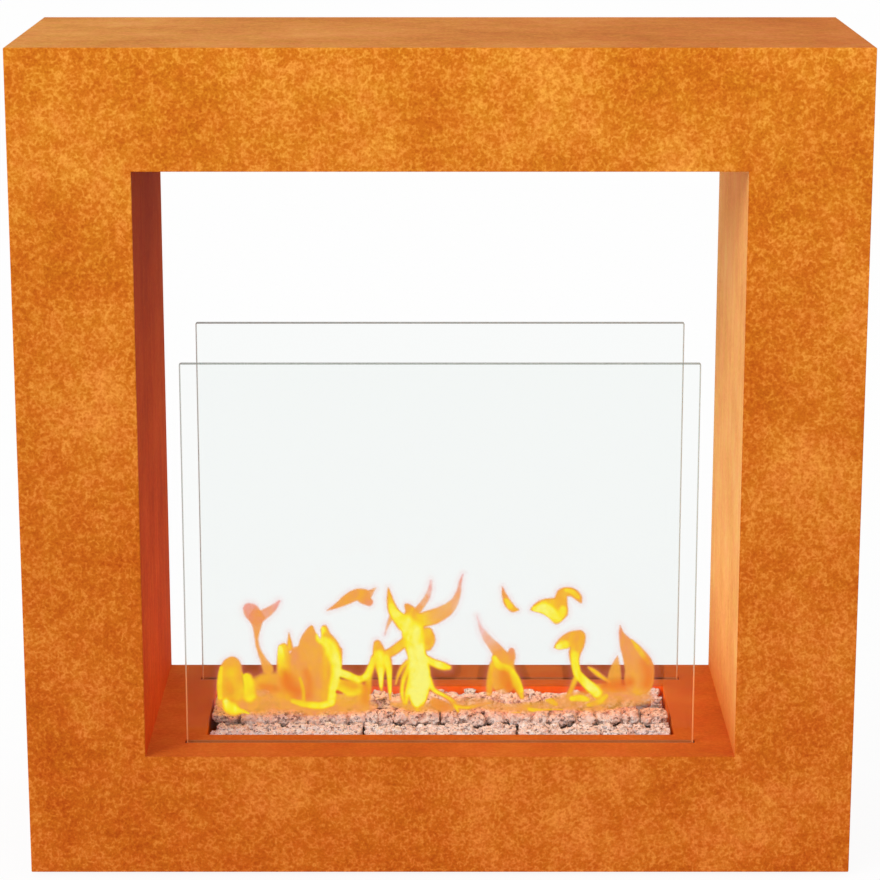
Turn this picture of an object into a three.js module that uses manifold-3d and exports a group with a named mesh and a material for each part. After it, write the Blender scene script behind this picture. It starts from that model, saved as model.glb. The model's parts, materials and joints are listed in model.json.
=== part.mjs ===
// See-through bioethanol fireplace in weathering steel: a hollow square portal with a hearth across
// its lower beam, two loose toughened panes, a lift-out burner with a sliding damper, and a bed of stones.
// Millimetres. +Z up, front face towards -Y, origin on the floor under the middle of the casing.

import * as THREE from "three";
import { mergeVertices } from "three/addons/utils/BufferGeometryUtils.js";
import Module from "manifold-3d";

// Casing
const width = 1050;
const casingHeight = 1056;
const depth = 380;
const beam = 150; // face width of the two uprights and the top beam
const hearthBeam = 156; // face height of the lower beam
const steel = 3; // sheet thickness of the casing
const footGap = 6; // casing's lower edge above the floor

// Glass panes
const glassThickness = 8;
const glassInset = 61; // face of the casing to the middle of a pane
const glassSideGap = 48; // reveal to a pane's edge
const glassShowing = 500; // pane height above the hearth
const glassSeat = 23; // pane depth below the hearth
const glassCorner = 2.5;
const glassArris = 0.8;
const gasketWall = 1.7;
const glassClearance = 0.3; // pane to gasket
const channelWall = 2;
const channelOverrun = 2; // channel past a pane's edge, each end

// Recess in the hearth
const recessBorder = 26; // middle of a pane to the recess
const recessEndGap = 70; // reveal to the recess
const recessDepth = 78;

// Burner
const insertClearance = 2; // burner insert to the recess walls
const tankEndGap = 10; // tank to the recess, each end
const stoneGutter = 53; // tank to the recess, each long side
const tankWall = 1.5;
const plateThickness = 2; // burner plates and damper
const plateCorner = 1;
const mouthDrop = 12; // hearth to the burner's top plate
const mouthEndGap = 33; // tank's end to the mouth
const lipWall = 2;
const lipHeight = 8;
const lipCorner = 3;
const damperLap = 2; // damper past each side of the mouth when shut
const damperParting = 1; // mouth's edge to the open damper
const damperRunout = 1.5; // open damper to the tank wall
const damperEndLap = 26; // damper past each end of the mouth
const slideClearance = 0.3;
const guideLedge = 8;
const knobStemRadius = 3;
const knobRadius = 7;
const knobHeight = 9;
const knobStemShowing = 5; // stem between the top plate and the knob
const knobArris = 1;
const knobDome = 2;
const knobSlotGap = 1; // stem to its slot, each side
const woolHeight = 48;
const woolCorner = 4;
const meshThickness = 1.5;
const meshColumns = 20; // diamond openings along the mesh
const meshRows = [-1, 0, 1];
const diamondLong = 0.76; // opening's length and width, as shares of their pitches
const diamondWide = 0.72;
const shelfDrop = 44; // hearth to the stone shelf

// Stones
const stoneSize = 44;
const rimStoneSize = 31;
const stoneGap = 0.8; // between two clusters
const stoneRise = 13; // tallest stone above the hearth
const endStoneDrop = 5; // end stones below the tallest
const rowRise = { front: 2, rear: -2 }; // rows above the hearth
const rowHeapEvery = 2; // stones of a row from one that lies on top to the next
const rimHeapEvery = 4;
const leastReach = 0.84; // stone's corners from its middle, as a share of its half size
const reachSpread = 0.24;
// Half sizes of a stone: shares of its pitch along the row, of the cell's half width and of its height.
const rowStone = { along: 0.64, across: 1.08, up: 0.58, middle: 0.46, least: 0.74, most: 1 };
const topStone = { along: 0.4, across: 0.8, up: 0.3, least: 0.86, most: 1.02 };

// Levelling feet
const footInset = 60; // casing's corner to a foot's axis, both ways
const footPadRadius = 20;
const studRadius = 5;
const studLength = 43;
const studReveal = 1.5; // pad to the casing's lower edge
const nutAcrossFlats = 17;
const nutHeight = 8;
const threadClearance = 0.3;
const studHoleGap = 0.5; // stud to its hole in the base plate
const studArris = 1;
const ballRadius = 6.5;
const ballArris = 0.6;
const ballDrop = 0.5; // ball below the pad's upper face
const padArris = 1;
const socketRim = 3;
const turnedSides = 18; // facets round a turned piece
const cutPast = 1; // cutting bodies past the face that they cut

// What follows from those
const openingWidth = width - 2 * beam;
const openingHeight = casingHeight - beam - hearthBeam;
const hearthTop = footGap + hearthBeam;
const openingTop = hearthTop + openingHeight;
const casingTop = footGap + casingHeight;
const innerDepth = depth - 2 * steel;
const paneWidth = openingWidth - 2 * glassSideGap;
const paneHeight = glassShowing + glassSeat;
const glassPlane = depth / 2 - glassInset;
const gasketWidth = glassThickness + 2 * (glassClearance + gasketWall);
const channelWidth = gasketWidth + 2 * channelWall;
const channelLength = paneWidth + 2 * channelOverrun;
const recessLength = openingWidth - 2 * recessEndGap;
const recessWidth = depth - 2 * (glassInset + recessBorder);
const recessFloor = hearthTop - recessDepth;
const tankLength = recessLength - 2 * tankEndGap;
const tankWidth = recessWidth - 2 * stoneGutter;
const burnerTop = hearthTop - mouthDrop;
const tankTop = burnerTop - plateThickness;
const tankHeight = tankTop - recessFloor;
const mouthLength = tankLength - 2 * mouthEndGap;
const damperReach = tankWidth / 2 - tankWall - damperRunout;
// From the middle to the tank wall lie half the mouth, the parting and the open damper.
const mouthWidth = (damperReach - 2 * damperLap - damperParting) / 1.5;
const damperWidth = mouthWidth + 2 * damperLap;
const damperTravel = mouthWidth + damperLap + damperParting;
const damperLength = mouthLength + 2 * damperEndLap;
const damperTop = tankTop - slideClearance;
const knobPlace = (mouthLength + damperEndLap + guideLedge / 2) / 2;
const shelfTop = hearthTop - shelfDrop;
const shelfLength = recessLength - 2 * insertClearance;
const shelfWidth = recessWidth - 2 * insertClearance;
const padThickness = footGap - studReveal;

const weatheredSteel = new THREE.MeshStandardMaterial({ color: 0xd07a36, roughness: 0.82, metalness: 0.1 });
const clearGlass = new THREE.MeshStandardMaterial({
  color: 0xeaf4ef,
  roughness: 0.03,
  metalness: 0,
  transparent: true,
  opacity: 0.25,
});
const sealRubber = new THREE.MeshStandardMaterial({ color: 0xd39a72, roughness: 0.5, metalness: 0 });
const stainless = new THREE.MeshStandardMaterial({ color: 0x9a9691, roughness: 0.38, metalness: 1 });
const zincSteel = new THREE.MeshStandardMaterial({ color: 0xb5b6b2, roughness: 0.42, metalness: 1 });
const ceramicFibre = new THREE.MeshStandardMaterial({ color: 0xe9e4da, roughness: 0.95, metalness: 0 });
const footPlastic = new THREE.MeshStandardMaterial({ color: 0x1f1f20, roughness: 0.6, metalness: 0 });
const graniteStone = new THREE.MeshStandardMaterial({ color: 0xcdbab4, roughness: 0.95, metalness: 0 });

const wasm = await Module();
wasm.setup();

/** A closed geometry as a solid that can be joined and cut. */
function solidFrom(geometry) {
  const bare = geometry.clone();
  bare.deleteAttribute("normal");
  bare.deleteAttribute("uv");
  const merged = mergeVertices(bare, 1e-4);
  return new wasm.Manifold(
    new wasm.Mesh({
      numProp: 3,
      vertProperties: merged.attributes.position.array,
      triVerts: new Uint32Array(merged.index.array),
    }),
  );
}

/** A solid as a geometry with a flat normal on each face. */
function geometryFrom(solid) {
  const mesh = solid.getMesh();
  const indexed = new THREE.BufferGeometry();
  indexed.setAttribute("position", new THREE.BufferAttribute(mesh.vertProperties, 3));
  indexed.setIndex(new THREE.BufferAttribute(mesh.triVerts, 1));
  const faceted = indexed.toNonIndexed();
  faceted.computeVertexNormals();
  return faceted;
}

/** A box between two corners. */
function boxBetween([x0, y0, z0], [x1, y1, z1]) {
  const box = new THREE.BoxGeometry(x1 - x0, y1 - y0, z1 - z0);
  return box.translate((x0 + x1) / 2, (y0 + y1) / 2, (z0 + z1) / 2);
}

/** Traces a rectangle, centred on (x, y), with round corners where radius is given. */
function traceRectangle(path, length, height, radius = 0, x = 0, y = 0) {
  const right = x + length / 2;
  const top = y + height / 2;
  const left = right - length;
  const bottom = top - height;
  path.moveTo(left + radius, bottom);
  path.lineTo(right - radius, bottom);
  if (radius) path.absarc(right - radius, bottom + radius, radius, -Math.PI / 2, 0);
  path.lineTo(right, top - radius);
  if (radius) path.absarc(right - radius, top - radius, radius, 0, Math.PI / 2);
  path.lineTo(left + radius, top);
  if (radius) path.absarc(left + radius, top - radius, radius, Math.PI / 2, Math.PI);
  path.lineTo(left, bottom + radius);
  if (radius) path.absarc(left + radius, bottom + radius, radius, Math.PI, 1.5 * Math.PI);
  return path;
}

const rectangle = (...sizes) => traceRectangle(new THREE.Shape(), ...sizes);
const window = (...sizes) => traceRectangle(new THREE.Path(), ...sizes);

/** A flat plate of the outline's shape, from z = 0 up, with the windows cut through. */
function plate(outline, windows, thickness) {
  outline.holes.push(...windows);
  return new THREE.ExtrudeGeometry(outline, {
    depth: thickness,
    bevelEnabled: false,
    curveSegments: 5,
  });
}

/** A closed polygon from its corners. */
function polygon(corners) {
  return new THREE.Shape(corners.map(([x, y]) => new THREE.Vector2(x, y)));
}

/** A profile drawn across X and Z, run along Y from y = 0. */
function runAlongY(outline, length) {
  const bar = new THREE.ExtrudeGeometry(outline, { depth: length, bevelEnabled: false });
  return bar.rotateX(Math.PI / 2).translate(0, length, 0);
}

/** A profile drawn across Y and Z, run along X from x = 0. */
function runAlongX(outline, length) {
  const bar = new THREE.ExtrudeGeometry(outline, { depth: length, bevelEnabled: false });
  return bar.rotateZ(Math.PI / 2).rotateY(Math.PI / 2);
}

/** A named piece of one material, standing at a place in its parent. */
function piece(parent, name, geometry, material, x = 0, y = 0, z = 0) {
  const mesh = new THREE.Mesh(geometry, material);
  mesh.name = name;
  mesh.position.set(x, y, z);
  parent.add(mesh);
  return mesh;
}

// Front and rear faces: one square ring each, laser cut from a single sheet.
function faceRing() {
  const outline = rectangle(width, casingHeight);
  const middle = (hearthBeam - beam) / 2;
  const ring = plate(outline, [window(openingWidth, openingHeight, 0, 0, middle)], steel);
  return ring.rotateX(Math.PI / 2).translate(0, steel, footGap + casingHeight / 2);
}

function addFaces(casing) {
  piece(casing, "front_face", faceRing(), weatheredSteel, 0, -depth / 2, 0);
  piece(casing, "rear_face", faceRing(), weatheredSteel, 0, depth / 2 - steel, 0);
}

// Outer sheets: the top caps the two sides, and the base closes the box between them.
function addOuterSheets(casing) {
  const half = width / 2;
  const deep = innerDepth / 2;
  const side = () => boxBetween([0, -deep, footGap], [steel, deep, casingTop - steel]);
  piece(casing, "left_side", side(), weatheredSteel, -half);
  piece(casing, "right_side", side(), weatheredSteel, half - steel);
  const top = boxBetween([-half, -deep, -steel], [half, deep, 0]);
  piece(casing, "top_panel", top, weatheredSteel, 0, 0, casingTop);
  const holeRadius = studRadius + studHoleGap;
  const studHoles = footPlaces().map(({ x, y }) => new THREE.Path().absarc(x, y, holeRadius, 0, 2 * Math.PI));
  const base = plate(rectangle(width - 2 * steel, innerDepth), studHoles, steel);
  piece(casing, "base_plate", base, weatheredSteel, 0, 0, footGap);
}

// Lining of the opening: two reveals and a soffit.
function addLining(casing) {
  const deep = innerDepth / 2;
  const half = openingWidth / 2;
  const reveal = () => boxBetween([0, -deep, hearthTop], [steel, deep, openingTop]);
  piece(casing, "left_reveal", reveal(), weatheredSteel, -half - steel);
  piece(casing, "right_reveal", reveal(), weatheredSteel, half);
  const soffit = boxBetween([-half - steel, -deep, 0], [half + steel, deep, steel]);
  piece(casing, "soffit", soffit, weatheredSteel, 0, 0, openingTop);
}

// Hearth plate, with the recess and the two glass slots cut out.
function addHearth(casing) {
  const outline = rectangle(openingWidth + 2 * steel, innerDepth);
  const slots = [-glassPlane, glassPlane].map((y) => window(channelLength, gasketWidth, 0, 0, y));
  const recess = window(recessLength, recessWidth);
  const hearth = plate(outline, [recess, ...slots], steel);
  piece(casing, "hearth_plate", hearth, weatheredSteel, 0, 0, hearthTop - steel);
}

/** An open-topped box with its outer floor at z = 0. */
function openBox(length, across, height, wall) {
  const shell = boxBetween([-length / 2, -across / 2, 0], [length / 2, across / 2, height]);
  const room = boxBetween(
    [wall - length / 2, wall - across / 2, wall],
    [length / 2 - wall, across / 2 - wall, height + wall],
  );
  return geometryFrom(solidFrom(shell).subtract(solidFrom(room)));
}

// Box under the hearth plate that holds the burner insert and catches spilt fuel.
function addRecess(casing) {
  const box = openBox(recessLength + 2 * steel, recessWidth + 2 * steel, recessDepth, steel);
  piece(casing, "recess_box", box, weatheredSteel, 0, 0, recessFloor - steel);
}

/** A U-shaped profile, open at the top, standing on z = 0. */
function uProfile(across, height, wall) {
  const out = across / 2;
  const inside = out - wall;
  return polygon([
    [-out, 0],
    [out, 0],
    [out, height],
    [inside, height],
    [inside, wall],
    [-inside, wall],
    [-inside, height],
    [-out, height],
  ]);
}

// Steel channel welded under each slot, and the seal that the pane stands in.
function addGlazing(casing) {
  const gasketFloor = hearthTop - glassSeat - glassClearance - gasketWall;
  const channelHeight = hearthTop - steel - gasketFloor + channelWall;
  const gasketHeight = hearthTop - glassClearance - gasketFloor;
  const channelFloor = gasketFloor - channelWall;
  const sides = { front: -glassPlane, rear: glassPlane };
  for (const [side, y] of Object.entries(sides)) {
    const channel = runAlongX(uProfile(channelWidth, channelHeight, channelWall), channelLength);
    piece(casing, `${side}_glass_channel`, channel, zincSteel, -channelLength / 2, y, channelFloor);
    const gasket = runAlongX(uProfile(gasketWidth, gasketHeight, gasketWall), paneWidth);
    piece(casing, `${side}_glass_gasket`, gasket, sealRubber, -paneWidth / 2, y, gasketFloor);
  }
}

// A toughened pane with small round corners and ground edges.
function paneGeometry() {
  const flat = rectangle(paneWidth, paneHeight, glassCorner);
  const pane = new THREE.ExtrudeGeometry(flat, {
    depth: glassThickness - 2 * glassArris,
    bevelThickness: glassArris,
    bevelSize: glassArris,
    bevelOffset: -glassArris,
    bevelSegments: 1,
    curveSegments: 4,
  });
  return pane.rotateX(Math.PI / 2).translate(0, glassThickness / 2 - glassArris, 0);
}

function addPanes(fireplace) {
  const middle = hearthTop - glassSeat + paneHeight / 2;
  piece(fireplace, "front_glass", paneGeometry(), clearGlass, 0, -glassPlane, middle);
  piece(fireplace, "rear_glass", paneGeometry(), clearGlass, 0, glassPlane, middle);
}

function footPlaces() {
  const x = width / 2 - footInset;
  const y = depth / 2 - footInset;
  return [
    { corner: "front_left", x: -x, y: -y },
    { corner: "front_right", x, y: -y },
    { corner: "rear_left", x: -x, y },
    { corner: "rear_right", x, y },
  ];
}

/** A piece turned about Z from its half profile of [radius, height] points. */
function turned(profile) {
  const outline = profile.map(([radius, height]) => new THREE.Vector2(radius, height));
  return new THREE.LatheGeometry(outline, turnedSides).rotateX(Math.PI / 2);
}

function nutGeometry() {
  const hexagon = [0, 1, 2, 3, 4, 5].map((i) => {
    const angle = (i * Math.PI) / 3;
    const corner = nutAcrossFlats / Math.sqrt(3);
    return [corner * Math.cos(angle), corner * Math.sin(angle)];
  });
  const bore = new THREE.Path().absarc(0, 0, studRadius + threadClearance, 0, 2 * Math.PI);
  return plate(polygon(hexagon), [bore], nutHeight);
}

// Levelling feet: a pad with a socket, a ball-ended stud in it, and a weld nut on the base plate.
function addFeet(fireplace, casing) {
  const socketFloor = padThickness / 2;
  const socket = ballRadius + threadClearance;
  const pad = [
    [0, 0],
    [footPadRadius - padArris, 0],
    [footPadRadius, padArris],
    [footPadRadius, padThickness / 2],
    [socket + socketRim, padThickness],
    [socket, padThickness],
    [socket, socketFloor],
    [0, socketFloor],
  ];
  const ballTop = padThickness - ballDrop;
  const studTop = socketFloor + studLength;
  const stud = [
    [0, socketFloor],
    [ballRadius - studArris, socketFloor],
    [ballRadius, ballTop - ballArris],
    [studRadius, ballTop],
    [studRadius, studTop - studArris],
    [studRadius - studArris, studTop],
    [0, studTop],
  ];
  for (const { corner, x, y } of footPlaces()) {
    piece(fireplace, `${corner}_foot_pad`, turned(pad), footPlastic, x, y, 0);
    piece(fireplace, `${corner}_foot_stud`, turned(stud), zincSteel, x, y, 0);
    piece(casing, `${corner}_foot_nut`, nutGeometry(), zincSteel, x, y, footGap + steel);
  }
}

// Fuel tank, open at the top, with the fibre block and its mesh inside.
function addTank(insert) {
  const tank = openBox(tankLength, tankWidth, tankHeight, tankWall);
  piece(insert, "burner_tank", tank, stainless, 0, 0, recessFloor);
  const blockLength = tankLength - 2 * (tankWall + insertClearance);
  const blockWidth = tankWidth - 2 * (tankWall + slideClearance);
  const block = plate(rectangle(blockLength, blockWidth, woolCorner), [], woolHeight);
  piece(insert, "ceramic_wool", block, ceramicFibre, 0, 0, recessFloor + tankWall);
  const mesh = meshGeometry(blockLength, blockWidth);
  piece(insert, "wool_mesh", mesh, stainless, 0, 0, recessFloor + tankWall + woolHeight);
}

// Sheet with staggered rows of diamond openings under the mouth.
function meshGeometry(length, across) {
  const pitch = mouthLength / meshColumns;
  const rowPitch = mouthWidth / 2;
  const halfLong = (diamondLong * pitch) / 2;
  const halfWide = (diamondWide * rowPitch) / 2;
  const diamonds = [];
  for (const row of meshRows) {
    const stagger = row ? pitch / 4 : -pitch / 4;
    for (let column = 0; column < meshColumns; column++) {
      const x = (column - (meshColumns - 1) / 2) * pitch + stagger;
      const y = row * rowPitch;
      diamonds.push(
        new THREE.Path([
          new THREE.Vector2(x - halfLong, y),
          new THREE.Vector2(x, y - halfWide),
          new THREE.Vector2(x + halfLong, y),
          new THREE.Vector2(x, y + halfWide),
        ]),
      );
    }
  }
  return plate(rectangle(length, across), diamonds, meshThickness);
}

// Top plate with a raised lip round the mouth and a slot for the damper's knob.
function addTopPlate(insert) {
  const knobSlotWidth = 2 * (knobStemRadius + knobSlotGap);
  const knobSlotLength = damperTravel + knobSlotWidth;
  const knobSlot = window(knobSlotWidth, knobSlotLength, knobStemRadius, knobPlace, damperTravel / 2);
  const coverOutline = rectangle(tankLength, tankWidth, plateCorner);
  const cover = plate(coverOutline, [window(mouthLength, mouthWidth), knobSlot], plateThickness);
  const lipOutline = rectangle(mouthLength + 2 * lipWall, mouthWidth + 2 * lipWall, lipCorner);
  const lip = plate(lipOutline, [window(mouthLength, mouthWidth)], plateThickness + lipHeight);
  const joined = geometryFrom(solidFrom(cover).add(solidFrom(lip)));
  piece(insert, "burner_top_plate", joined, stainless, 0, 0, tankTop);
}

// Two guides, one at each end of the damper, that hold it up under the top plate.
function addDamperGuides(insert) {
  const floor = damperTop - plateThickness - slideClearance;
  const drop = tankTop - floor;
  const web = damperLength / 2 + slideClearance;
  const angle = (side) =>
    polygon(
      [
        [web - guideLedge, -plateThickness],
        [web + plateThickness, -plateThickness],
        [web + plateThickness, drop],
        [web, drop],
        [web, 0],
        [web - guideLedge, 0],
      ].map(([x, z]) => [side * x, z]),
    );
  const length = tankWidth - 2 * (tankWall + slideClearance);
  piece(insert, "left_damper_guide", runAlongY(angle(-1), length), stainless, 0, -length / 2, floor);
  piece(insert, "right_damper_guide", runAlongY(angle(1), length), stainless, 0, -length / 2, floor);
}

// The damper lies open behind the mouth and shuts it by sliding forwards.
function addDamper(fireplace) {
  const damper = new THREE.Group();
  damper.position.set(0, damperTravel, damperTop);
  fireplace.add(damper);
  const blade = plate(rectangle(damperLength, damperWidth, plateCorner), [], plateThickness);
  piece(damper, "damper_blade", blade, stainless, 0, 0, -plateThickness);
  const neck = burnerTop + knobStemShowing - damperTop;
  const knob = turned([
    [0, 0],
    [knobStemRadius, 0],
    [knobStemRadius, neck],
    [knobRadius - knobArris, neck],
    [knobRadius, neck + knobArris],
    [knobRadius, neck + knobHeight - knobDome],
    [knobRadius - knobDome, neck + knobHeight],
    [0, neck + knobHeight],
  ]);
  piece(damper, "damper_knob", knob, stainless, knobPlace, 0, 0);
}

// Shelf round the tank that carries the stones, on its two turned-down edges.
function addShelf(insert) {
  const legs = runAlongX(uProfile(shelfWidth, shelfTop - recessFloor, plateThickness), shelfLength);
  const upturned = legs.translate(-shelfLength / 2, 0, 0).rotateX(Math.PI);
  const hole = boxBetween(
    [-tankLength / 2, -tankWidth / 2, -plateThickness - cutPast],
    [tankLength / 2, tankWidth / 2, cutPast],
  );
  const shelf = geometryFrom(solidFrom(upturned).subtract(solidFrom(hole)));
  piece(insert, "stone_shelf", shelf, stainless, 0, 0, shelfTop);
}

/** A lump of broken stone that fills an ellipsoid, its corners moved in or out by chance. */
function stone([x, y, z], [rx, ry, rz]) {
  const lump = mergeVertices(bareLump(), 1e-4);
  const place = lump.attributes.position;
  for (let i = 0; i < place.count; i++) {
    const reach = leastReach + reachSpread * THREE.MathUtils.seededRandom();
    const offset = [place.getX(i), place.getY(i), place.getZ(i)].map((share) => reach * share);
    place.setXYZ(i, x + rx * offset[0], y + ry * offset[1], z + rz * offset[2]);
  }
  return solidFrom(lump);
}

function bareLump() {
  const ball = new THREE.DodecahedronGeometry(1);
  ball.deleteAttribute("normal");
  ball.deleteAttribute("uv");
  return ball;
}

/** A cluster of touching stones that fills a cell: one row, and every few stones another lies on top. */
function stoneCluster(seed, size, heapEvery, [x0, y0, z0], [x1, y1, z1]) {
  THREE.MathUtils.seededRandom(seed);
  const chance = (low, high) => low + (high - low) * THREE.MathUtils.seededRandom();
  const alongX = x1 - x0 > y1 - y0;
  const [from, to] = alongX ? [x0, x1] : [y0, y1];
  const acrossMiddle = alongX ? (y0 + y1) / 2 : (x0 + x1) / 2;
  const acrossHalf = alongX ? (y1 - y0) / 2 : (x1 - x0) / 2;
  const count = Math.max(1, Math.round((to - from) / size));
  const pitch = (to - from) / count;
  const height = z1 - z0;
  const stones = [];
  const add = (along, z, halfLength, halfAcross, halfHeight) => {
    const centre = alongX ? [along, acrossMiddle, z] : [acrossMiddle, along, z];
    const halves = alongX ? [halfLength, halfAcross, halfHeight] : [halfAcross, halfLength, halfHeight];
    stones.push(stone(centre, halves));
  };
  for (let i = 0; i < count; i++) {
    const along = from + (i + 0.5) * pitch;
    const rise = chance(rowStone.least, rowStone.most) * height;
    const middle = z0 + rowStone.middle * rise;
    add(along, middle, rowStone.along * pitch, rowStone.across * acrossHalf, rowStone.up * rise);
  }
  for (let i = 1; i < count; i += heapEvery) {
    const halfHeight = topStone.up * height;
    const middle = z0 + chance(topStone.least, topStone.most) * height - halfHeight;
    add(from + i * pitch, middle, topStone.along * pitch, topStone.across * acrossHalf, halfHeight);
  }
  const cell = boxBetween([x0, y0, z0], [x1, y1, z1 + height]);
  const heap = stones.reduce((sum, next) => sum.add(next));
  return geometryFrom(heap.intersect(solidFrom(cell)));
}

// Stone bed: rows on the shelf along the four sides, and smaller stones on the burner beside the lip.
function addStones(insert) {
  const half = shelfLength / 2 - stoneGap;
  const outer = shelfWidth / 2 - stoneGap;
  const inner = tankWidth / 2 + stoneGap;
  const lip = mouthWidth / 2 + lipWall + stoneGap;
  const rimEnd = mouthLength / 2 + lipWall + stoneGap;
  const top = hearthTop + stoneRise;
  const cell = (name, seed, size, low, high, heapEvery = rowHeapEvery) =>
    piece(insert, name, stoneCluster(seed, size, heapEvery, low, high), graniteStone);
  const thirds = [-1, 0, 1].map((third) => [
    (third - 0.5) * ((2 * half) / 3) + stoneGap / 2,
    (third + 0.5) * ((2 * half) / 3) - stoneGap / 2,
  ]);
  ["left", "middle", "right"].forEach((side, i) => {
    const [x0, x1] = thirds[i];
    const frontHigh = [x1, -inner, hearthTop + rowRise.front];
    const rearHigh = [x1, outer, hearthTop + rowRise.rear];
    cell(`front_stones_${side}`, 11 + i, stoneSize, [x0, -outer, shelfTop], frontHigh);
    cell(`rear_stones_${side}`, 21 + i, stoneSize, [x0, inner, shelfTop], rearHigh);
  });
  const knobRoom = knobRadius + stoneGap;
  const endTop = top - endStoneDrop;
  const edge = inner - 2 * stoneGap;
  cell("left_end_stones", 31, stoneSize, [-half, -edge, burnerTop], [-rimEnd, edge, endTop]);
  cell("right_end_stones", 32, stoneSize, [rimEnd, -edge, burnerTop], [half, -knobRoom, endTop]);
  const rims = { front: [-edge, -lip], rear: [lip, edge] };
  Object.entries(rims).forEach(([side, [y0, y1]], i) => {
    const low = [stoneGap - rimEnd, y0, burnerTop];
    const high = [rimEnd - stoneGap, y1, top];
    const leftHigh = [-stoneGap / 2, y1, top];
    const rightLow = [stoneGap / 2, y0, burnerTop];
    cell(`${side}_rim_stones_left`, 41 + i, rimStoneSize, low, leftHigh, rimHeapEvery);
    cell(`${side}_rim_stones_right`, 51 + i, rimStoneSize, rightLow, high, rimHeapEvery);
  });
}

const fireplace = new THREE.Group();
const casing = new THREE.Group();
const insert = new THREE.Group();
fireplace.add(casing, insert);

addFaces(casing);
addOuterSheets(casing);
addLining(casing);
addHearth(casing);
addRecess(casing);
addGlazing(casing);
addPanes(fireplace);
addFeet(fireplace, casing);
addTank(insert);
addTopPlate(insert);
addDamperGuides(insert);
addDamper(fireplace);
addShelf(insert);
addStones(insert);

export default fireplace;
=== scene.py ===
"""See-through bioethanol fireplace: the finish of its casing, panes, burner, stone bed, feet and fire.

Metres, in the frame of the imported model: +Z up, front face towards -Y, origin on the floor under the
middle of the casing. Every size that the frame gives is read from it.
"""

import json
import logging
import math
from collections.abc import Iterable, Sequence
from dataclasses import dataclass, field, fields
from enum import Enum

import bmesh
import bpy
import numpy as np
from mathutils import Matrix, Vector

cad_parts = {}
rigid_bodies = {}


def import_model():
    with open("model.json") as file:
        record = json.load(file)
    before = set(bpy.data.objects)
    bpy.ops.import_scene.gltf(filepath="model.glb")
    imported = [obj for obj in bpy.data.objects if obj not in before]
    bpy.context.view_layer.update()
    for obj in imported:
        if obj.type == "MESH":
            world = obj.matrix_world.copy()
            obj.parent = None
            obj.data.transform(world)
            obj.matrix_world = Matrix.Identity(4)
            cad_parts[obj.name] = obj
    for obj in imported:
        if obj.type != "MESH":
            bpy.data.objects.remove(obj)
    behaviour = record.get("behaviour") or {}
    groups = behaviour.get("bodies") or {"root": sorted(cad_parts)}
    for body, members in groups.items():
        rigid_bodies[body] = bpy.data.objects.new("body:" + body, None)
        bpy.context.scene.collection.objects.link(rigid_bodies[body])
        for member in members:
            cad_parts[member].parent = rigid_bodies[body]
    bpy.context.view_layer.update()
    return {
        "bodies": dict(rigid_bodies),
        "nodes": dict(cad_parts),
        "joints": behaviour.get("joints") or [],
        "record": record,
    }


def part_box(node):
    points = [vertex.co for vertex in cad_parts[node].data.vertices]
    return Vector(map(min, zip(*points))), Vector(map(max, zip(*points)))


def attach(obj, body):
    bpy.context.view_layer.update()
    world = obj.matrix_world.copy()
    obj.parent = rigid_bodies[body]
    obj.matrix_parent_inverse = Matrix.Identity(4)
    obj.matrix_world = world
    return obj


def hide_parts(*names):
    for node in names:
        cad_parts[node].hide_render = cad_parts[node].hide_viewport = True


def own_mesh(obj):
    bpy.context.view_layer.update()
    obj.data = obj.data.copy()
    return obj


LOG = logging.getLogger("fireplace")
MM = 0.001
TOUCH = 1e-5  # two places closer than this are one
SHARP = math.radians(40)  # edges folded by more than this are eased
PRESSED = (1.2 * MM, 1.2 * MM, 3.6 * MM)  # how far stones are pressed off their cell's walls and top
KEPT = (0.5 * MM, 0.5 * MM, 0.7 * MM)  # and how close their grains come to them

Colour = tuple[float, float, float, float]
Corner = tuple[float, float, float]
Plane = tuple[int, float]


def srgb(red: int, green: int, blue: int) -> Colour:
    """The linear colour of three screen values from 0 to 255.

    Args:
        red, green, blue: The screen values.

    Returns:
        Red, green, blue and alpha for a shader.
    """
    levels = (value / 255 for value in (red, green, blue))
    linear = [v / 12.92 if v <= 0.04045 else ((v + 0.055) / 1.055) ** 2.4 for v in levels]
    return (linear[0], linear[1], linear[2], 1.0)


def placed(made: bpy.types.Object) -> bpy.types.Object:
    """Links an object to the scene and returns it."""
    bpy.context.scene.collection.objects.link(made)
    return made


WHITE = srgb(255, 255, 255)


# ---------------------------------------------------------------------------------------------------
# Node trees
# ---------------------------------------------------------------------------------------------------


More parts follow.
